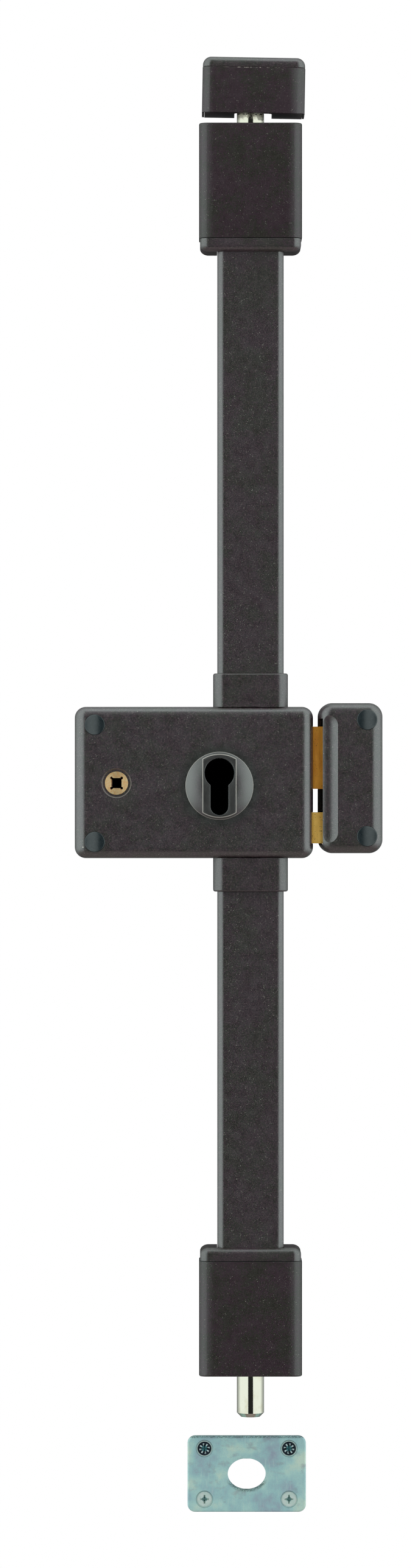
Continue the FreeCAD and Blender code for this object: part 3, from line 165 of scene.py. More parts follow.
world = bpy.data.worlds.new("light_tent")
bpy.context.scene.world = world
world.use_nodes = True
tent = world.node_tree
tent.nodes.clear()
towards = add(tent, "ShaderNodeSeparateXYZ", Vector=add(tent, "ShaderNodeTexCoord").outputs["Generated"])
sideways, backwards, upwards = towards.outputs
ahead = reckon(tent, "MAXIMUM", times(tent, backwards, -1.0), 0.001)
off_middle = reckon(tent, "SUBTRACT", reckon(tent, "DIVIDE", sideways, ahead), GAP_MIDDLE)
off_middle = reckon(tent, "ABSOLUTE", off_middle)
cloth = slope(tent, off_middle, GAP_HALF - SOFT_EDGE, GAP_HALF + SOFT_EDGE, 0, CLOTH_LIGHT)
overhead = slope(tent, upwards, LAMP_START, LAMP_FULL, 0, LAMP_LIGHT)
lit = reckon(tent, "MAXIMUM", cloth, overhead)
lit = times(tent, lit, slope(tent, backwards, 0.0, 0.7, 1.0, BEHIND_SHARE))
lit = times(tent, lit, slope(tent, backwards, 0.80, 0.95, 1.0, FAR_BEHIND_SHARE))
lit = times(tent, lit, slope(tent, upwards, -0.8, -0.2, LOW_SHARE, 1.0))
lit = reckon(tent, "MAXIMUM", lit, slope(tent, upwards, -0.6, -0.85, GAP_LIGHT, FLOOR_LIGHT))
below = slope(tent, upwards, -0.5, -0.8)
tint = add(tent, "ShaderNodeMix", {"data_type": "RGBA"}, _0=below, _6=COOL_CLOTH, _7=WARM_FLOOR).outputs[2]
inside = add(tent, "ShaderNodeBackground", Color=tint, Strength=lit)
plain = add(tent, "ShaderNodeBackground", Color=WHITE, Strength=1.0)
ray = add(tent, "ShaderNodeLightPath")
shown = add(
    tent, "ShaderNodeMixShader",
    _0=ray.outputs["Is Camera Ray"], _1=inside.outputs[0], _2=plain.outputs[0],
)
add(tent, "ShaderNodeOutputWorld", Surface=shown.outputs[0])
print("tent nodes:", len(tent.nodes))

# %% [markdown]
# ## Floor and backing
#
# The floor is a pale sheet below the lock that catches its soft shadow. The cylinder hole and the handle
# hole run right through the case, yet the photograph shows them black, because nothing lights what lies
# behind. A dark card behind the case does the same here. It is clear from behind and it takes no light
# from anything, so the lock can still be looked at from there.

# %% The floor and the dark card
FLOOR = -0.60
FLOOR_REACH = 2
FLOOR_FRONT, FLOOR_BACK = -2.2, 0.42
FLOOR_GLOW = 0.72
FLOOR_GREY = (0.35, 0.35, 0.35, 1)
CARD_Y = 0.5 * MM
CARD_LEFT, CARD_RIGHT = -80 * MM, 50 * MM
CARD_LOW, CARD_HIGH = -45 * MM, 34 * MM
CARD_BLACK = (0.002, 0.002, 0.002, 1)


def stage_sheet(name, corners, shader_of):
    """A flat sheet that belongs to the studio, through the given corners."""
    sheet = bmesh.new()
    sheet.faces.new([sheet.verts.new(corner) for corner in corners])
    mesh = bpy.data.meshes.new(name)
    sheet.to_mesh(mesh)
    sheet.free()
    thing = bpy.data.objects.new(name, mesh)
    bpy.context.scene.collection.objects.link(thing)
    material = bpy.data.materials.new(name)
    material.use_nodes = True
    material.node_tree.nodes.clear()
    surface = shader_of(material.node_tree)
    add(material.node_tree, "ShaderNodeOutputMaterial", Surface=surface.outputs[0])
    mesh.materials.append(material)
    thing.visible_glossy = False
    thing.visible_diffuse = False
    return thing


def pale_floor(tree):
    glow = add(tree, "ShaderNodeEmission", Color=WHITE, Strength=FLOOR_GLOW)
    matt = add(tree, "ShaderNodeBsdfDiffuse", Color=FLOOR_GREY)
    return add(tree, "ShaderNodeAddShader", _0=glow.outputs[0], _1=matt.outputs[0])


def dark_front(tree):
    black = add(tree, "ShaderNodeBsdfDiffuse", Color=CARD_BLACK)
    clear = add(tree, "ShaderNodeBsdfTransparent")
    side = add(tree, "ShaderNodeNewGeometry")
    return add(
        tree, "ShaderNodeMixShader",
        _0=side.outputs["Backfacing"], _1=black.outputs[0], _2=clear.outputs[0],
    )


stage_sheet(
    "floor",
    [(-FLOOR_REACH, FLOOR_FRONT, FLOOR), (FLOOR_REACH, FLOOR_FRONT, FLOOR),
     (FLOOR_REACH, FLOOR_BACK, FLOOR), (-FLOOR_REACH, FLOOR_BACK, FLOOR)],
    pale_floor,
)
card = stage_sheet(
    "dark_card",
    [(CARD_LEFT, CARD_Y, CARD_LOW), (CARD_RIGHT, CARD_Y, CARD_LOW),
     (CARD_RIGHT, CARD_Y, CARD_HIGH), (CARD_LEFT, CARD_Y, CARD_HIGH)],
    dark_front,
)
card.visible_shadow = False
print("floor at", FLOOR, "and card normal", tuple(card.data.polygons[0].normal))

# %% [markdown]
# ## Patterns that stay on the object
#
# Every pattern below reads Object coordinates, so it has its true size in millimetres and turns and
# slides with its piece. Noise gives blotches and grain; a colour ramp turns a grey pattern into colours.

# %% Pattern helpers


def new_finish(name):
    material = bpy.data.materials.new(name)
    material.use_nodes = True
    tree = material.node_tree
    return material, tree, tree.nodes["Principled BSDF"]


def place_on(tree, stretch=(1, 1, 1), shift=(0, 0, 0)):
    """The point on the piece, stretched and moved for a pattern."""
    here = add(tree, "ShaderNodeTexCoord").outputs["Object"]
    return add(tree, "ShaderNodeMapping", Vector=here, Scale=stretch, Location=shift).outputs[0]


def noise(tree, size, detail=2.0, stretch=(1, 1, 1), shift=(0, 0, 0)):
    """A cloudy pattern whose blotches are about this large."""
    return add(
        tree, "ShaderNodeTexNoise", Vector=place_on(tree, stretch, shift),
        Scale=1 / size, Detail=detail, Roughness=0.55,
    ).outputs[0]


def ramp(tree, grey, *stops):
    """Turns a grey pattern into colours: each stop is a place from 0 to 1 and a colour."""
    node = add(tree, "ShaderNodeValToRGB", Fac=grey)
    band = node.color_ramp
    while len(band.elements) < len(stops):
        band.elements.new(0.5)
    for element, (place, colour) in zip(band.elements, stops):
        element.position = place
        element.color = (*colour, 1)
    return node.outputs[0]


def blend(tree, amount, under, over, way="MIX"):
    """Lays one colour over another, as strongly as the amount says."""
    node = add(tree, "ShaderNodeMix", {"data_type": "RGBA", "blend_type": way}, _0=amount)
    for place, colour in ((6, under), (7, over)):
        if isinstance(colour, bpy.types.NodeSocket):
            tree.links.new(colour, node.inputs[place])
        else:
            node.inputs[place].default_value = (*colour, 1)
    return node.outputs[2]


print("pattern helpers ready")

# %% [markdown]
# ## Wiring a finish
#
# Each finish ends in the same few moves: a pattern goes to a socket of the shader, the shine is made a
# little uneven, and the surface is raised by a pattern. Uneven shine does as much for a metal as colour.

# %% Finish helpers
DARK_PART, LIGHT_PART = 0.3, 0.7


def wire(tree, value, shader, socket):
    tree.links.new(value, shader.inputs[socket])


def uneven_shine(tree, shader, size, smooth, rough, detail=3):
    """Lets the roughness wander between two values, in patches of this size."""
    patches = noise(tree, size, detail)
    wire(tree, steps(tree, patches, DARK_PART, LIGHT_PART, smooth, rough), shader, "Roughness")


def raise_up(tree, shader, height, depth, below=None):
    """Bumps the surface by a pattern, up to this depth in metres, on top of an earlier bump."""
    node = add(tree, "ShaderNodeBump", Height=height, Distance=depth, Strength=1.0)
    if below is not None:
        tree.links.new(below, node.inputs["Normal"])
    tree.links.new(node.outputs[0], shader.inputs["Normal"])
    return node.outputs[0]


print("finish helpers ready")

# %% [markdown]
# ## Measuring on a piece
#
# A mark has a place. These helpers measure how far a point of the surface lies from a place, from an
# axis that runs front to back, or from a line, so that a mark can fade with that distance.

# %% Measuring helpers


def distances(tree, *middle):
    """How far right of, behind and above a place a point lies."""
    return add(
        tree, "ShaderNodeSeparateXYZ", Vector=place_on(tree, shift=tuple(-c for c in middle))
    ).outputs


def length(tree, offset):
    return add(tree, "ShaderNodeVectorMath", {"operation": "LENGTH"}, _0=offset).outputs["Value"]


def ring_distance(tree, x, z):
    """How far a point lies from a fore-and-aft axis."""
    return length(tree, place_on(tree, stretch=(1, 0, 1), shift=(-x, 0, -z)))


def line_at(tree, value, level, gone, full):
    """1 where a value is within full of a level, fading to 0 where it is gone or more away."""
    away = reckon(tree, "ABSOLUTE", reckon(tree, "SUBTRACT", value, level))
    return steps(tree, away, gone, full)


print("measuring helpers ready")

# %% [markdown]
# ## Brown paint
#
# The metal covers carry a baked, finely textured brown paint. Close up it is never one colour: faint
# green and purple blotches a centimetre wide, a grain like fine leather, and pale specks of pigment a
# third of a millimetre across. The grain is also raised, which is why the highlight along an edge ends
# in crumbs rather than a clean line.

# %% Brown paint
PURPLE_BROWN = (0.052, 0.020, 0.034)
GREEN_BROWN = (0.030, 0.024, 0.015)
DEEP_BROWN = (0.008, 0.005, 0.006)
DUSTY_BROWN = (0.110, 0.070, 0.074)
PALE_SPECK = (0.48, 0.46, 0.38)
CLOUD_SIZE = 16 * MM
CRUMB_SIZE = 1.3 * MM
GRAIN_SIZE = 0.7 * MM
GRAIN_DEPTH = 0.045 * MM
SPECK_SPACING = 0.95 * MM
SPECK_PATCH = 1.7 * MM
SHINE_PATCH = 5 * MM
PAINT_IOR = 1.9


def textured_paint(name, shine, specks, rough=0.33, tone=1.0, grit=1.0, shades=(), curls=()):
    """A finish in brown paint. grit is the strength of its grain, shades change its colour at a place,
    and curls tilt its surface."""
    material, tree, shader = new_finish(name)
    clouds = times(tree, noise(tree, CLOUD_SIZE, 3), 0.55)
    crumbs = times(tree, noise(tree, CRUMB_SIZE, shift=(0.7, 0.2, 0.1)), 0.45)
    mottle = reckon(tree, "ADD", clouds, crumbs)
    colour = ramp(tree, mottle, (0.43, GREEN_BROWN), (0.54, PURPLE_BROWN))
    grain = noise(tree, GRAIN_SIZE)
    colour = blend(tree, steps(tree, grain, 0.50, 0.32, 0, grit), colour, DEEP_BROWN)
    colour = blend(tree, steps(tree, grain, 0.53, 0.70, 0, grit), colour, DUSTY_BROWN)
    colour = blend(tree, 1.0, colour, (tone, tone, tone), way="MULTIPLY")
    cells = add(
        tree, "ShaderNodeTexVoronoi", Vector=place_on(tree), Scale=1 / SPECK_SPACING, Randomness=1.0
    )
    dots = steps(tree, cells.outputs["Distance"], 0.26, 0.12)
    pick = steps(tree, noise(tree, SPECK_PATCH, shift=(0.3, 0.1, 0.2)), 0.52, 0.66, 0, specks)
    colour = blend(tree, times(tree, dots, pick), colour, PALE_SPECK)
    for shade in shades:
        colour = shade(tree, colour)
    wire(tree, colour, shader, "Base Color")
    uneven_shine(tree, shader, SHINE_PATCH, rough - 0.03, rough + 0.03, detail=2)
    shader.inputs["IOR"].default_value = PAINT_IOR
    shader.inputs["Specular IOR Level"].default_value = shine
    tilted = None
    for curl in curls:
        tilted = raise_up(tree, shader, *curl(tree), below=tilted)
    raise_up(tree, shader, grain, GRAIN_DEPTH, below=tilted)
    return material


brown_paint = textured_paint("brown_paint", 0.95, 1.0)
print("made", brown_paint.name)

# %% [markdown]
# ## Marks on the case
#
# The guard shades the case in a soft ring, because the tent's light can't reach in beside it. Near the
# lower left cap a chip shows pale metal. Its edge is ragged: noise is added to the distance from its
# middle before that distance is compared with the chip's size.

# %% Marks on the case
GUARD_Z = -7.5 * MM
GUARD_RADIUS = 20 * MM
SHADOW_REACH = 7 * MM
SHADOW_STRENGTH = 0.75
SHADOW_BROWN = (0.010, 0.016, 0.010)
CHIP = (-80.2 * MM, -43.6 * MM)
CHIP_SIZE = 0.9 * MM
BARE_METAL = (0.62, 0.56, 0.47)


def guard_shadow(tree, colour):
    away = ring_distance(tree, 0, GUARD_Z)
    near = slope(tree, away, GUARD_RADIUS, GUARD_RADIUS + SHADOW_REACH, SHADOW_STRENGTH, 0)
    return blend(tree, near, colour, SHADOW_BROWN)


def chipped(tree, colour):
    away = ring_distance(tree, *CHIP)
    ragged = reckon(tree, "ADD", away, times(tree, noise(tree, 0.8 * MM), CHIP_SIZE))
    return blend(tree, steps(tree, ragged, 1.1 * CHIP_SIZE, 0.9 * CHIP_SIZE), colour, BARE_METAL)


case_paint = textured_paint("case_paint", 1.0, 1.0, shades=(guard_shadow, chipped))
print("made", case_paint.name)

# %% [markdown]
# ## Marks on the boxes
#
# The guides' and the keeper's boxes wear a smoother, duller paint. Each guide seam gets a painted shade,
# a black line where the groove between cap and cover lies in shadow, and pale crumbs of bare metal stand
# along the middle of the keeper's seam. The sides bulge a little, so that the front darkens gently
# before each edge. The bulge is only a tilt of the shading.

# %% Marks on the boxes
SEAMS_MIDDLE = 13.75 * MM
SEAMS_HALF = 300.55 * MM
SEAM_SHADE_BLACK = (0.001, 0.001, 0.001)
KEEPER_X = 20.1 * MM
KEEPER_SEAM = 414.6 * MM
KEEPER_LEAN = math.radians(1)
CRUMB_BEIGE = (0.60, 0.50, 0.44)
ROD_X = 18.3 * MM
BOX_HALF = 30.3 * MM
BULGE = 9 * MM
BULGE_DEPTH = 1.5 * MM


def painted_seam_shade(tree, colour):
    # Painted shade: a black line along each guide seam, where the groove between cap and cover lies in
    # shadow.
    height = reckon(tree, "ABSOLUTE", distances(tree, 0, 0, SEAMS_MIDDLE)[2])
    return blend(tree, line_at(tree, height, SEAMS_HALF, 0.30 * MM, 0.15 * MM), colour, SEAM_SHADE_BLACK)


def keeper_chips(tree, colour):
    offset = distances(tree, KEEPER_X, 0, KEEPER_SEAM)
    height = reckon(tree, "ADD", offset[2], times(tree, offset[0], math.tan(KEEPER_LEAN)))
    line = steps(tree, reckon(tree, "ABSOLUTE", height), 0.55 * MM, 0.25 * MM)
    middle = steps(tree, reckon(tree, "ABSOLUTE", offset[0]), 19 * MM, 9 * MM)
    crumbs = steps(tree, noise(tree, 1.4 * MM, 3, shift=(0.9, 0, 0)), 0.54, 0.60)
    return blend(tree, times(tree, times(tree, line, middle), crumbs), colour, CRUMB_BEIGE)


def bulging_sides(tree):
    """A height that falls off ever faster towards the sides, and its depth."""
    across = reckon(tree, "ABSOLUTE", distances(tree, ROD_X, 0, 0)[0])
    curl = steps(tree, across, BOX_HALF - BULGE, BOX_HALF)
    return times(tree, curl, times(tree, curl, -1.0)), BULGE_DEPTH


satin_paint = textured_paint(
    "satin_paint", 0.45, 0.7, rough=0.36, tone=0.85, grit=0.4,
    shades=(painted_seam_shade, keeper_chips), curls=(bulging_sides,),
)
print("made", satin_paint.name)

# %% [markdown]
# ## Painted light on the guard
#
# The guard's dome is painted paler towards its sides, a painted highlight where its curve turns to the
# side cloth. Its island is painted darker, a painted shade for the flat face that looks into the tent's
# dark gap. Its edges and rim get a light line, a painted highlight along their bevels.

# %% Painted light on the guard
ISLAND_HALF = 9.8 * MM
ISLAND_RADIUS = 18.45 * MM
ISLAND_OUTSIDE, ISLAND_INSIDE = 9.9 * MM, 9.7 * MM
SIDE_SHEEN_START, SIDE_SHEEN_FULL = 11 * MM, 19 * MM
LINE_GONE, LINE_FULL = 0.35 * MM, 0.15 * MM
RIM_START, RIM_FULL = 19.5 * MM, 19.8 * MM
SIDE_SHEEN_GREY = (0.150, 0.145, 0.135)
ISLAND_SHADE_BROWN = (0.014, 0.009, 0.008)
EDGE_HIGHLIGHT = (0.62, 0.55, 0.50)


def guard_painted_light(tree, colour):
    across = reckon(tree, "ABSOLUTE", distances(tree, 0, 0, 0)[0])
    away = ring_distance(tree, 0, GUARD_Z)
    # Painted highlight: the dome turns paler towards its sides.
    colour = blend(tree, slope(tree, across, SIDE_SHEEN_START, SIDE_SHEEN_FULL), colour, SIDE_SHEEN_GREY)
    island = steps(tree, across, ISLAND_OUTSIDE, ISLAND_INSIDE)
    # Painted shade: the island is darker.
    colour = blend(tree, island, colour, ISLAND_SHADE_BROWN)
    sides = line_at(tree, across, ISLAND_HALF, LINE_GONE, LINE_FULL)
    arcs = line_at(tree, away, ISLAND_RADIUS, LINE_GONE, LINE_FULL)
    within = steps(tree, away, ISLAND_RADIUS + 0.3 * MM, ISLAND_RADIUS)
    # Painted highlight: light lines along the island's edges and arcs, and round the rim.
    edge_glint = reckon(tree, "MAXIMUM", times(tree, sides, within), times(tree, arcs, island))
    edge_glint = reckon(tree, "MAXIMUM", edge_glint, steps(tree, away, RIM_START, RIM_FULL, 0, 0.6))
    return blend(tree, times(tree, edge_glint, 0.9), colour, EDGE_HIGHLIGHT)


guard_paint = textured_paint(
    "guard_paint", 0.78, 0.3, rough=0.40, tone=0.8, grit=0.5, shades=(guard_painted_light,)
)
print("made", guard_paint.name)

# %% [markdown]
# ## Brown and black plastic
#
# The sleeves beside the case and the end caps are moulded plastic in the same brown, with fewer specks
# and a slightly softer shine. The little round caps over the screws are a blue-black plastic, almost
# smooth, so they mirror the tent as a gradient.

# %% Plastics
CAPS_MIDDLE = 6.7 * MM
CAPS_HALF = 79.9 * MM
CAP_RADIUS = 6 * MM
CAP_FADE = 5 * MM
CAP_DEPTH = 1.6 * MM
CAP_DARK, CAP_LIGHT = (0.012, 0.022, 0.028), (0.020, 0.031, 0.037)

# The end caps carry the same painted seam shade as the guide covers.
brown_plastic = textured_paint("brown_plastic", 0.86, 0.5, shades=(painted_seam_shade,))

cap_plastic, tree, shader = new_finish("cap_plastic")
clouds = noise(tree, 4 * MM)
wire(tree, ramp(tree, clouds, (0.35, CAP_DARK), (0.7, CAP_LIGHT)), shader, "Base Color")
uneven_shine(tree, shader, 1.2 * MM, 0.26, 0.34)
shader.inputs["IOR"].default_value = 1.8
across = reckon(tree, "ABSOLUTE", distances(tree, CAPS_MIDDLE, 0, 0)[0])
curl = slope(tree, reckon(tree, "SUBTRACT", across, CAPS_HALF), -CAP_FADE, CAP_RADIUS)
raise_up(tree, shader, times(tree, curl, -1.0), CAP_DEPTH)
print("made", brown_plastic.name, "and", cap_plastic.name)

# %% [markdown]
# ## Brass bolts
#
# The dead bolt is a sawn and drawn bar, orange-brown, with small dark pits and a few scratches. The
# latch is cast, paler and rougher. Both have long been touched and dulled, so they are hardly metallic.

# %% Brass bolts
BOLT_DARK, BOLT_LIGHT = (0.78, 0.27, 0.022), (1.0, 0.42, 0.045)
LATCH_DARK, LATCH_LIGHT = (0.74, 0.38, 0.06), (1.0, 0.60, 0.14)
PIT_BROWN = (0.06, 0.03, 0.01)
DULLED = 0.05


def brass(name, dark, light, pits, rough, depth):
    """Brass between two colours. A higher pits gives more dark spots, a higher depth a coarser skin."""
    material, tree, shader = new_finish(name)
    streaks = noise(tree, 3 * MM, 4, stretch=(1, 1, 0.25))
    colour = ramp(tree, streaks, (0.30, dark), (0.72, light))
    spots = steps(tree, noise(tree, 0.8 * MM, shift=(0.4, 0, 0)), pits, pits - 0.05)
    wire(tree, blend(tree, times(tree, spots, 0.8), colour, PIT_BROWN), shader, "Base Color")
    shader.inputs["Metallic"].default_value = DULLED
    uneven_shine(tree, shader, 1.5 * MM, rough - 0.06, rough + 0.06)
    raise_up(tree, shader, noise(tree, 0.5 * MM, 3, stretch=(1, 1, 0.4)), depth)
    return material


bolt_brass = brass("bolt_brass", BOLT_DARK, BOLT_LIGHT, pits=0.34, rough=0.42, depth=0.012 * MM)
latch_brass = brass("latch_brass", LATCH_DARK, LATCH_LIGHT, pits=0.36, rough=0.50, depth=0.03 * MM)
print("made", bolt_brass.name, "and", latch_brass.name)

# %% [markdown]
# ## The handle hub
#
# The hub is freshly turned, so its face has fine marks that run round it. Such a face spreads a
# reflection along the radius and flashes as the marks turn towards the light. The shader does this when
# its tangent points outwards from the axis, turned into world directions.

# %% The handle hub
HUB_MIDDLE = (-60.4 * MM, 0, -5.9 * MM)
HUB_DARK, HUB_LIGHT = (1.0, 0.54, 0.22), (1.0, 0.76, 0.44)
HUB_METALLIC = 0.45
HUB_SPREAD = 0.9

hub_brass, tree, shader = new_finish("hub_brass")
out_from_axis = place_on(tree, stretch=(1, 0, 1), shift=tuple(-c for c in HUB_MIDDLE))
colour = ramp(tree, noise(tree, 1.2 * MM, 3), (DARK_PART, HUB_DARK), (LIGHT_PART, HUB_LIGHT))
wire(tree, colour, shader, "Base Color")
shader.inputs["Metallic"].default_value = HUB_METALLIC
uneven_shine(tree, shader, 0.6 * MM, 0.50, 0.60)
shader.inputs["Anisotropic"].default_value = HUB_SPREAD
sweep = add(
    tree, "ShaderNodeVectorTransform",
    {"vector_type": "VECTOR", "convert_from": "OBJECT", "convert_to": "WORLD"}, Vector=out_from_axis,
)
wire(tree, sweep.outputs[0], shader, "Tangent")
print("made", hub_brass.name)

# %% [markdown]
# ## Nickel
#
# The rods' round ends are nickel-plated and nearly a mirror, with a few cloudy smears. The upper one is
# rubbed dull near its top, where it runs in the keeper.

# %% Nickel
WEAR_LOW = 383.6 * MM
WEAR_FADE = 3 * MM
NICKEL_DARK, NICKEL_LIGHT = (0.69, 0.62, 0.48), (0.81, 0.76, 0.65)
RUBBED_NICKEL = (0.66, 0.59, 0.46)

nickel, tree, shader = new_finish("nickel")
smears = noise(tree, 5 * MM, 5, stretch=(1, 1, 0.6))
colour = ramp(tree, smears, (0.30, NICKEL_DARK), (0.50, NICKEL_LIGHT))
rubbed = steps(tree, distances(tree, 0, 0, 0)[2], WEAR_LOW, WEAR_LOW + WEAR_FADE)
rubbed = times(tree, rubbed, steps(tree, noise(tree, 1.5 * MM, 3), 0.42, 0.60, 0.35, 1.0))
wire(tree, blend(tree, rubbed, colour, RUBBED_NICKEL), shader, "Base Color")
shader.inputs["Metallic"].default_value = 1.0
sheen = steps(tree, smears, DARK_PART, LIGHT_PART, 0.10, 0.04)
wire(tree, reckon(tree, "MAXIMUM", sheen, times(tree, rubbed, 0.5)), shader, "Roughness")
raise_up(tree, shader, noise(tree, 0.4 * MM, 3, stretch=(1, 1, 3)), 0.0010 * MM)
print("made", nickel.name)

# %% [markdown]
# ## Places on the floor plate
#
# The floor plate has an oval hole and four screws, one near each corner. Folding the plate twice about
# its middle lays the four screws on top of each other, so one measurement serves them all.

# %% Places on the floor plate
PLATE_MIDDLE = (16.2 * MM, 0, -414.6 * MM)
PLATE_HALF_HIGH = 22.5 * MM
OVAL_WIDE = 11.25 * MM
OVAL_HIGH = 9.25 * MM
SCREW_ACROSS = 25 * MM
SCREW_UP = 15 * MM


def folded_screws(tree):
    """Right of and above the nearest of the floor plate's four screws."""
    from_middle = distances(tree, *PLATE_MIDDLE)
    side = reckon(tree, "SUBTRACT", reckon(tree, "ABSOLUTE", from_middle[0]), SCREW_ACROSS)
    rise = reckon(tree, "SUBTRACT", reckon(tree, "ABSOLUTE", from_middle[2]), SCREW_UP)
    return side, rise


def screw_distance(tree):
    side, rise = folded_screws(tree)
    return length(tree, add(tree, "ShaderNodeCombineXYZ", _0=side, _2=rise).outputs[0])


def oval_distance(tree):
    """How far out a point lies from the hole's middle, where 1 is the hole's edge."""
    x, _, z = PLATE_MIDDLE
    stretch = (1 / OVAL_WIDE, 0, 1 / OVAL_HIGH)
    return length(tree, place_on(tree, stretch, shift=(-x / OVAL_WIDE, 0, -z / OVAL_HIGH)))


print("plate middle at", PLATE_MIDDLE)

# %% [markdown]
# ## Zinc on the floor plate
#
# The plate is zinc-plated and passivated: blue-green with grey-violet smudges and fine rub marks. Its
# top edge and the lower lip of its hole are scuffed dark, and a hairline round each screw is a painted
# shade where the plate meets the screw head. The mark under the hole is a crescent, because it fades
# both outwards and upwards.

# %% Zinc on the floor plate
ZINC_VIOLET, ZINC_TEAL = (0.46, 0.54, 0.66), (0.50, 0.76, 0.80)
ZINC_MINT, ZINC_CREAM = (0.60, 0.88, 0.86), (0.82, 0.98, 0.86)
SMUDGE_VIOLET = (0.36, 0.36, 0.44)
RUB_PALE = (0.9, 1.0, 0.95)
FLECK_DARK = (0.24, 0.36, 0.38)
TOP_SCUFF = (0.11, 0.17, 0.17)
LIP_SCUFF = (0.13, 0.20, 0.20)
CREVICE_SHADE_TEAL = (0.12, 0.20, 0.20)
RING_RADIUS = 4.95 * MM

zinc, tree, shader = new_finish("zinc_steel")
blotches = noise(tree, 15 * MM, 5, shift=(0.02, 0, 0.03))
colour = ramp(
    tree, blotches, (0.30, ZINC_VIOLET), (0.45, ZINC_TEAL), (0.56, ZINC_MINT), (0.70, ZINC_CREAM)
)
smudge = steps(tree, noise(tree, 8 * MM, 4, stretch=(1, 1, 1.6), shift=(0.5, 0, 0.1)), 0.56, 0.72)
colour = blend(tree, times(tree, smudge, 0.5), colour, SMUDGE_VIOLET)
rubs = noise(tree, 0.9 * MM, 4, stretch=(1, 1, 0.15), shift=(0.1, 0, 0.9))
colour = blend(tree, steps(tree, rubs, 0.56, 0.70, 0, 0.25), colour, RUB_PALE)
fine = noise(tree, 0.5 * MM, 3)
colour = blend(tree, steps(tree, fine, 0.42, 0.30, 0, 0.35), colour, FLECK_DARK)
scuffed = steps(tree, noise(tree, 0.7 * MM, 3, shift=(0.2, 0, 0.6)), 0.40, 0.56, 0.25, 0.9)
height = distances(tree, *PLATE_MIDDLE)[2]
top_line = slope(tree, height, PLATE_HALF_HIGH - 1.7 * MM, PLATE_HALF_HIGH - 0.6 * MM)
colour = blend(tree, times(tree, top_line, scuffed), colour, TOP_SCUFF)
lip = times(tree, steps(tree, oval_distance(tree), 1.20, 1.06), steps(tree, height, -3 * MM, -6 * MM))
colour = blend(tree, times(tree, lip, scuffed), colour, LIP_SCUFF)
# Painted shade: a dark hairline round each screw, where the plate meets its head.
crevice_shade = line_at(tree, screw_distance(tree), RING_RADIUS, 0.3 * MM, 0.1 * MM)
colour = blend(tree, times(tree, crevice_shade, 0.6), colour, CREVICE_SHADE_TEAL)
wire(tree, colour, shader, "Base Color")
shader.inputs["Metallic"].default_value = 0.05
uneven_shine(tree, shader, 3 * MM, 0.30, 0.46)
raise_up(tree, shader, fine, 0.008 * MM)
print("made", zinc.name)

# %% [markdown]
# ## The floor plate's screws
#
# The two upper screws are navy blue, with bright star-shaped ticks painted round a teal middle. The two
# lower ones are pale mint with a dark middle. All four sit in a bright rim. The ticks come from the
# angle round the screw: the sine of eight times that angle makes eight rays.

# %% The floor plate's screws
NAVY_DARK, NAVY_LIGHT = (0.008, 0.014, 0.025), (0.022, 0.035, 0.055)
TICK_PALE = (0.75, 0.88, 0.90)
MIDDLE_TEAL = (0.10, 0.30, 0.34)
MINT_DARK, MINT_LIGHT = (0.80, 0.96, 0.90), (0.95, 1.0, 0.97)
MINT_MIDDLE = (0.14, 0.34, 0.34)
RIM_PALE = (0.72, 0.84, 0.80)
RAYS = 8.0

screw_zinc, tree, shader = new_finish("screw_zinc")
radius = screw_distance(tree)
turn = reckon(tree, "ARCTAN2", *folded_screws(tree))
star = steps(tree, reckon(tree, "SINE", times(tree, turn, RAYS)), 0.1, 0.5)
reach = times(tree, steps(tree, radius, 1.6 * MM, 1.9 * MM), steps(tree, radius, 3.2 * MM, 2.9 * MM))
navy = ramp(tree, noise(tree, 0.7 * MM), (0.35, NAVY_DARK), (0.7, NAVY_LIGHT))
navy = blend(tree, times(tree, star, reach), navy, TICK_PALE)
navy = blend(tree, steps(tree, radius, 1.9 * MM, 1.5 * MM), navy, MIDDLE_TEAL)
mint = ramp(tree, noise(tree, 2 * MM, 3), (0.35, MINT_DARK), (0.7, MINT_LIGHT))
mint = blend(tree, steps(tree, radius, 1.7 * MM, 1.3 * MM, 0, 0.8), mint, MINT_MIDDLE)
upper = steps(tree, distances(tree, *PLATE_MIDDLE)[2], -1 * MM, 1 * MM)
rim = steps(tree, radius, 4.0 * MM, 4.25 * MM)
wire(tree, blend(tree, rim, blend(tree, upper, mint, navy), RIM_PALE), shader, "Base Color")
shader.inputs["Metallic"].default_value = 0.1
uneven_shine(tree, shader, 1 * MM, 0.28, 0.42, detail=2)
raise_up(tree, shader, noise(tree, 0.5 * MM), 0.004 * MM)
print("made", screw_zinc.name)

# %% [markdown]
# ## Plain steel
#
# The works inside are plain rolled steel, drawn in one direction, so its streaks are long and narrow.

# %% Plain steel
STEEL_DARK, STEEL_LIGHT = (0.36, 0.36, 0.37), (0.58, 0.57, 0.56)

plain_steel, tree, shader = new_finish("plain_steel")
drawn = noise(tree, 0.9 * MM, 4, stretch=(1, 1, 0.12))
colour = ramp(tree, drawn, (DARK_PART, STEEL_DARK), (LIGHT_PART, STEEL_LIGHT))
wire(tree, colour, shader, "Base Color")
shader.inputs["Metallic"].default_value = 1.0
wire(tree, steps(tree, drawn, DARK_PART, LIGHT_PART, 0.30, 0.46), shader, "Roughness")
raise_up(tree, shader, drawn, 0.006 * MM)
print("made", plain_steel.name)

# %% [markdown]
# ## Finer copies of CAD pieces
#
# Some pieces need finer edges than their CAD shapes have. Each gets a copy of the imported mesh, merged
# first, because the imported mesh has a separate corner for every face. Flat parts are joined into whole
# faces, so that a bevel runs cleanly along their rims. The copy drops the shading directions that the
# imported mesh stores, because they belong to its old corners.

# %% Copying and placing helpers
NEAR = 0.03 * MM
SAME_PLACE = 0.002 * MM
FLAT = 0.002
SHARP = math.radians(30)
shaped = {}


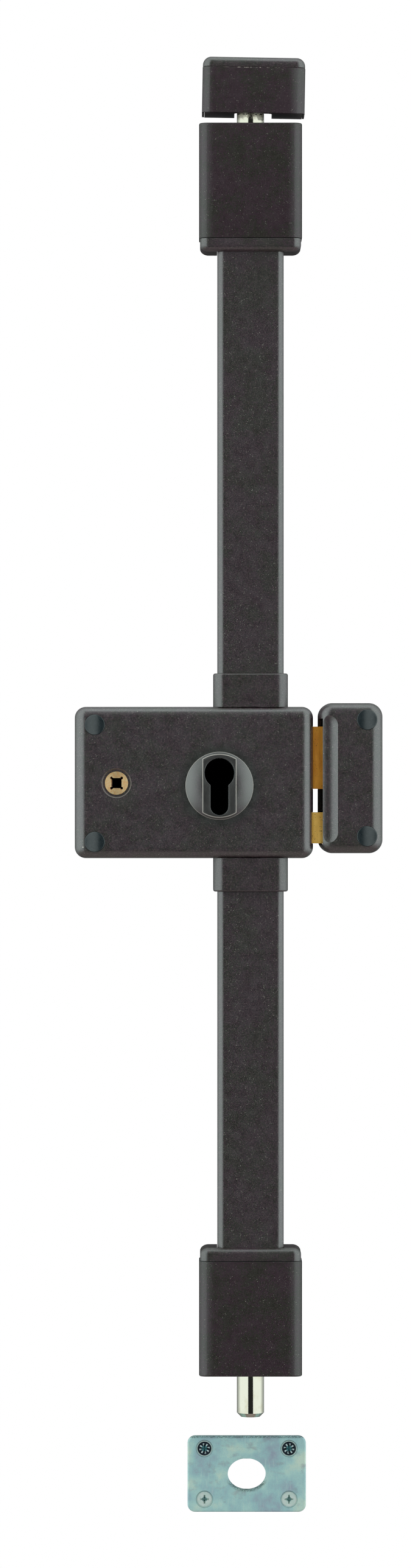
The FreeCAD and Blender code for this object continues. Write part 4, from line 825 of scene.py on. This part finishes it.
def merged_copy(name, join_flats=True):
    shape = bmesh.new()
    shape.from_mesh(nodes[name].data)
    bmesh.ops.remove_doubles(shape, verts=shape.verts, dist=SAME_PLACE)
    if join_flats:
        bmesh.ops.dissolve_limit(shape, angle_limit=FLAT, verts=shape.verts, edges=shape.edges)
    return shape


def round_off(shape, rim, width):
    bmesh.ops.bevel(
        shape, geom=rim, offset=width, affect="EDGES", segments=3, profile=0.5, material=-1,
        clamp_overlap=True,
    )


def hand_over(shape, name, body="lock_body"):
    """Turns a finished shape into a piece that stands for a node and moves with its body."""
    mesh = bpy.data.meshes.new(f"{name}_shaped")
    bmesh.ops.recalc_face_normals(shape, faces=shape.faces)
    for face in shape.faces:
        face.smooth = True
    shape.to_mesh(mesh)
    shape.free()
    stored = mesh.attributes.get("custom_normal")
    if stored:
        mesh.attributes.remove(stored)
    mesh.set_sharp_from_angle(angle=SHARP)
    piece = bpy.data.objects.new(f"{name}_shaped", mesh)
    bpy.context.scene.collection.objects.link(piece)
    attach(piece, body)
    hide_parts(name)
    shaped[name] = piece
    print(name, len(mesh.polygons), "faces")


print("copying helpers ready")

# %% [markdown]
# ## Seams between covers
#
# Where an end cap meets its guide cover, both moulded edges are slightly rounded, so a fine dark groove
# with one bright flank runs round the box. At the guides the groove is darkened further by a painted
# shade in the paint. The keeper's box and cap meet in the same way, on an axis that leans by one degree.
# Seen from the front the end caps are a little shallower than their CAD shapes, so their copies are
# drawn in towards the seam.

# %% Seams and end caps
UPRIGHT = Vector((0, 0, 1))
LEANING = Vector((math.sin(KEEPER_LEAN), 0, math.cos(KEEPER_LEAN)))
SEAM_BEVEL = 0.45 * MM
CAP_SHARE = 0.78
CORNER_ANGLE = 1
INWARDS = -0.0001


def end_rim(shape, axis, at_top):
    """The outer edges of a piece's flat end along an axis, and how far along that end lies."""
    along = [corner.co.dot(axis) for corner in shape.verts]
    level = max(along) if at_top else min(along)
    middle = sum((corner.co for corner in shape.verts), Vector()) / len(shape.verts)
    chosen = []
    for edge in shape.edges:
        beside = any(abs(corner.co.dot(axis) - level) > NEAR for corner in edge.verts)
        if beside or len(edge.link_faces) != 2:
            continue
        outside = (edge.verts[0].co + edge.verts[1].co) / 2 - middle
        outside -= axis * outside.dot(axis)
        outer = all(face.normal.dot(outside) > INWARDS for face in edge.link_faces)
        if outer and edge.calc_face_angle() > CORNER_ANGLE:
            chosen.append(edge)
    return chosen, level


def soften_seam(name, axis, at_top, share=1.0):
    """Rounds the rim of a piece's end, and draws the piece in towards that end to a share of its depth."""
    shape = merged_copy(name)
    rim, level = end_rim(shape, axis, at_top)
    round_off(shape, rim, SEAM_BEVEL)
    for corner in shape.verts:
        beyond = corner.co.dot(axis) - level
        corner.co += axis * beyond * (share - 1)
    hand_over(shape, name)


soften_seam("upper_guide_cover", UPRIGHT, at_top=False)
soften_seam("upper_end_cap", UPRIGHT, at_top=True, share=CAP_SHARE)
soften_seam("lower_guide_cover", UPRIGHT, at_top=True)
soften_seam("lower_end_cap", UPRIGHT, at_top=False, share=CAP_SHARE)
soften_seam("upper_keeper_cover", LEANING, at_top=True)
soften_seam("upper_keeper_cap", LEANING, at_top=False)

# %% [markdown]
# ## The guard round the cylinder
#
# The guard's raised island has crisp edges that still show as fine light lines, because each is broken
# by a narrow bevel. Its round rim and the edge of the cylinder hole are broken in the same way. The
# guard's paint adds a painted highlight along the island's edges and the rim as well.

# %% The guard's edges
GUARD_MIDDLE = Vector((0, 0, GUARD_Z))
ISLAND_FRONT = -37.6 * MM
FOOT_HEIGHT = 0.5 * MM
RIM_FROM = 19.9 * MM
GUARD_BEVEL = 0.4 * MM
BEND = 0.6

shape = merged_copy("cylinder_rosette")
rim = []
for edge in shape.edges:
    if len(edge.link_faces) != 2 or edge.calc_face_angle() < BEND:
        continue
    front = all(corner.co.y < ISLAND_FRONT + NEAR for corner in edge.verts)
    foot = all(corner.co.y > CASE_FRONT - FOOT_HEIGHT for corner in edge.verts)
    out = min((corner.co * Vector((1, 0, 1)) - GUARD_MIDDLE).length for corner in edge.verts)
    if front or (out > RIM_FROM and not foot):
        rim.append(edge)
round_off(shape, rim, GUARD_BEVEL)
hand_over(shape, "cylinder_rosette")

# %% [markdown]
# ## Screw caps
#
# Each cap is a shallow moulded dome. Its edge curls down into the hole it is pressed in, which leaves a
# dark hairline round it. A cap is a profile spun about its own axis.

# %% Spinning the caps
CAP_TOP = 0.42 * MM
CAP_EDGE = 6.02 * MM
CAP_CURL = 0.45 * MM
CAP_SINK = -0.7 * MM
CROWN_FALL = 0.25 * MM
CROWN_STEPS = 8
CURL_STEPS = 5
TURN_STEPS = 48
CASE_CAPS = [(-73.2 * MM, 28.3 * MM), (-73.2 * MM, -40.4 * MM)]
STRIKE_CAPS = [(86.6 * MM, 31.3 * MM), (86.6 * MM, -37.1 * MM)]


def cap_profile():
    """Radius and height above the painted face, from the middle outwards."""
    crown = CAP_EDGE - CAP_CURL
    points = []
    for step in range(CROWN_STEPS + 1):
        part = step / CROWN_STEPS
        points.append((crown * part, CAP_TOP - CROWN_FALL * part ** 2))
    start = points[-1][1]
    for step in range(1, CURL_STEPS + 1):
        angle = step / CURL_STEPS * math.pi / 2
        points.append((crown + CAP_CURL * math.sin(angle), start - CAP_CURL * (1 - math.cos(angle))))
    return points + [(CAP_EDGE, CAP_SINK)]


def spin_caps(name, places):
    shape = bmesh.new()
    for x, z in places:
        corners = [shape.verts.new((x + r, CASE_FRONT - rise, z)) for r, rise in cap_profile()]
        edges = [shape.edges.new(pair) for pair in zip(corners, corners[1:])]
        bmesh.ops.spin(
            shape, geom=corners + edges, cent=(x, 0, z), axis=(0, 1, 0), angle=2 * math.pi,
            steps=TURN_STEPS, use_merge=True, use_duplicate=False,
        )
    bmesh.ops.remove_doubles(shape, verts=shape.verts, dist=0.001 * MM)
    hand_over(shape, name)


spin_caps("case_screw_caps", CASE_CAPS)
spin_caps("strike_screw_caps", STRIKE_CAPS)

# %% [markdown]
# ## The floor plate's hole
#
# The plate's hole is a true oval, a little rounder than the slot of the CAD piece. The slot's straight
# edges are divided, and every corner near the hole moves straight towards or away from the middle, to the
# oval that has the same width and height. The flat faces stay in triangles here, because joining them
# would make one large face with holes in it.

# %% The oval hole
NEAR_HOLE = 1.25
STRAIGHT_EDGE = 3 * MM
CUTS = 6

shape = merged_copy("floor_keeper_plate", join_flats=False)
plate_middle = Vector(PLATE_MIDDLE)


def oval_reach(corner):
    """The same measure as oval_distance, for a corner of the mesh."""
    offset = corner.co - plate_middle
    return math.hypot(offset.x / OVAL_WIDE, offset.z / OVAL_HIGH)


straight = [
    edge for edge in shape.edges
    if all(oval_reach(corner) < NEAR_HOLE for corner in edge.verts)
    and edge.calc_length() > STRAIGHT_EDGE
    and abs(edge.verts[0].co.y - edge.verts[1].co.y) < NEAR
]
bmesh.ops.subdivide_edges(shape, edges=straight, cuts=CUTS)
for corner in shape.verts:
    reach = oval_reach(corner)
    if reach < NEAR_HOLE:
        corner.co.x += (corner.co.x - plate_middle.x) * (1 / reach - 1)
        corner.co.z += (corner.co.z - plate_middle.z) * (1 / reach - 1)
print(len(straight), "straight edges divided")
hand_over(shape, "floor_keeper_plate")

# %% [markdown]
# ## The upper bolt's end
#
# In the photograph the upper bolt's bevelled end is hidden in the keeper's mouth, and only its plain
# shank shows. The copy's end is drawn up into the mouth by a few millimetres.

# %% The upper bolt
END_LOW = 384 * MM
DRAWN_UP = 4 * MM

shape = merged_copy("upper_shoot_bolt")
for corner in shape.verts:
    if corner.co.z > END_LOW:
        corner.co.z += DRAWN_UP
hand_over(shape, "upper_shoot_bolt", "upper_rod")

# %% [markdown]
# ## The keeper's shelf
#
# In the photograph the steel shelf in the keeper's mouth shows a deeper dark band than the CAD shelf
# does. The underside of its copy is lowered by about a millimetre, along the keeper's own leaning axis.

# %% The keeper's shelf
LOWERED = 1.2 * MM

shape = merged_copy("upper_keeper_bracket")
lowest = min(corner.co.dot(LEANING) for corner in shape.verts)
for corner in shape.verts:
    if corner.co.dot(LEANING) < lowest + NEAR:
        corner.co -= LEANING * LOWERED
hand_over(shape, "upper_keeper_bracket")

# %% [markdown]
# ## Dressing the pieces
#
# The record names a finish for every piece, so the finishes are handed out by that list. The case, the
# satin covers, the keeper's shelf, the guard and the plate's screws have a finish of their own.

# %% Dressing the pieces
finishes = {
    "brown_paint": brown_paint, "brown_plastic": brown_plastic, "cap_plastic": cap_plastic,
    "bolt_brass": bolt_brass, "latch_brass": latch_brass, "hub_brass": hub_brass,
    "plain_steel": plain_steel, "zinc_steel": zinc, "nickel": nickel,
}
own_finish = {
    "upper_guide_cover": satin_paint, "lower_guide_cover": satin_paint, "upper_keeper_cover": satin_paint,
    "upper_keeper_bracket": satin_paint, "cylinder_rosette": guard_paint, "floor_keeper_screws": screw_zinc,
    "lock_case": case_paint,
}


def dress(piece, finish):
    while len(piece.material_slots) < 1:
        piece.data.materials.append(None)
    for slot in piece.material_slots:
        slot.material = finish


for part in frame["record"]["subparts"]:
    name = part["node"]
    finish = own_finish.get(name, finishes[part["material_slot"]])
    dress(nodes[name], finish)
    if name in shaped:
        dress(shaped[name], finish)
print("dressed", len(nodes), "pieces and", len(shaped), "finer copies")
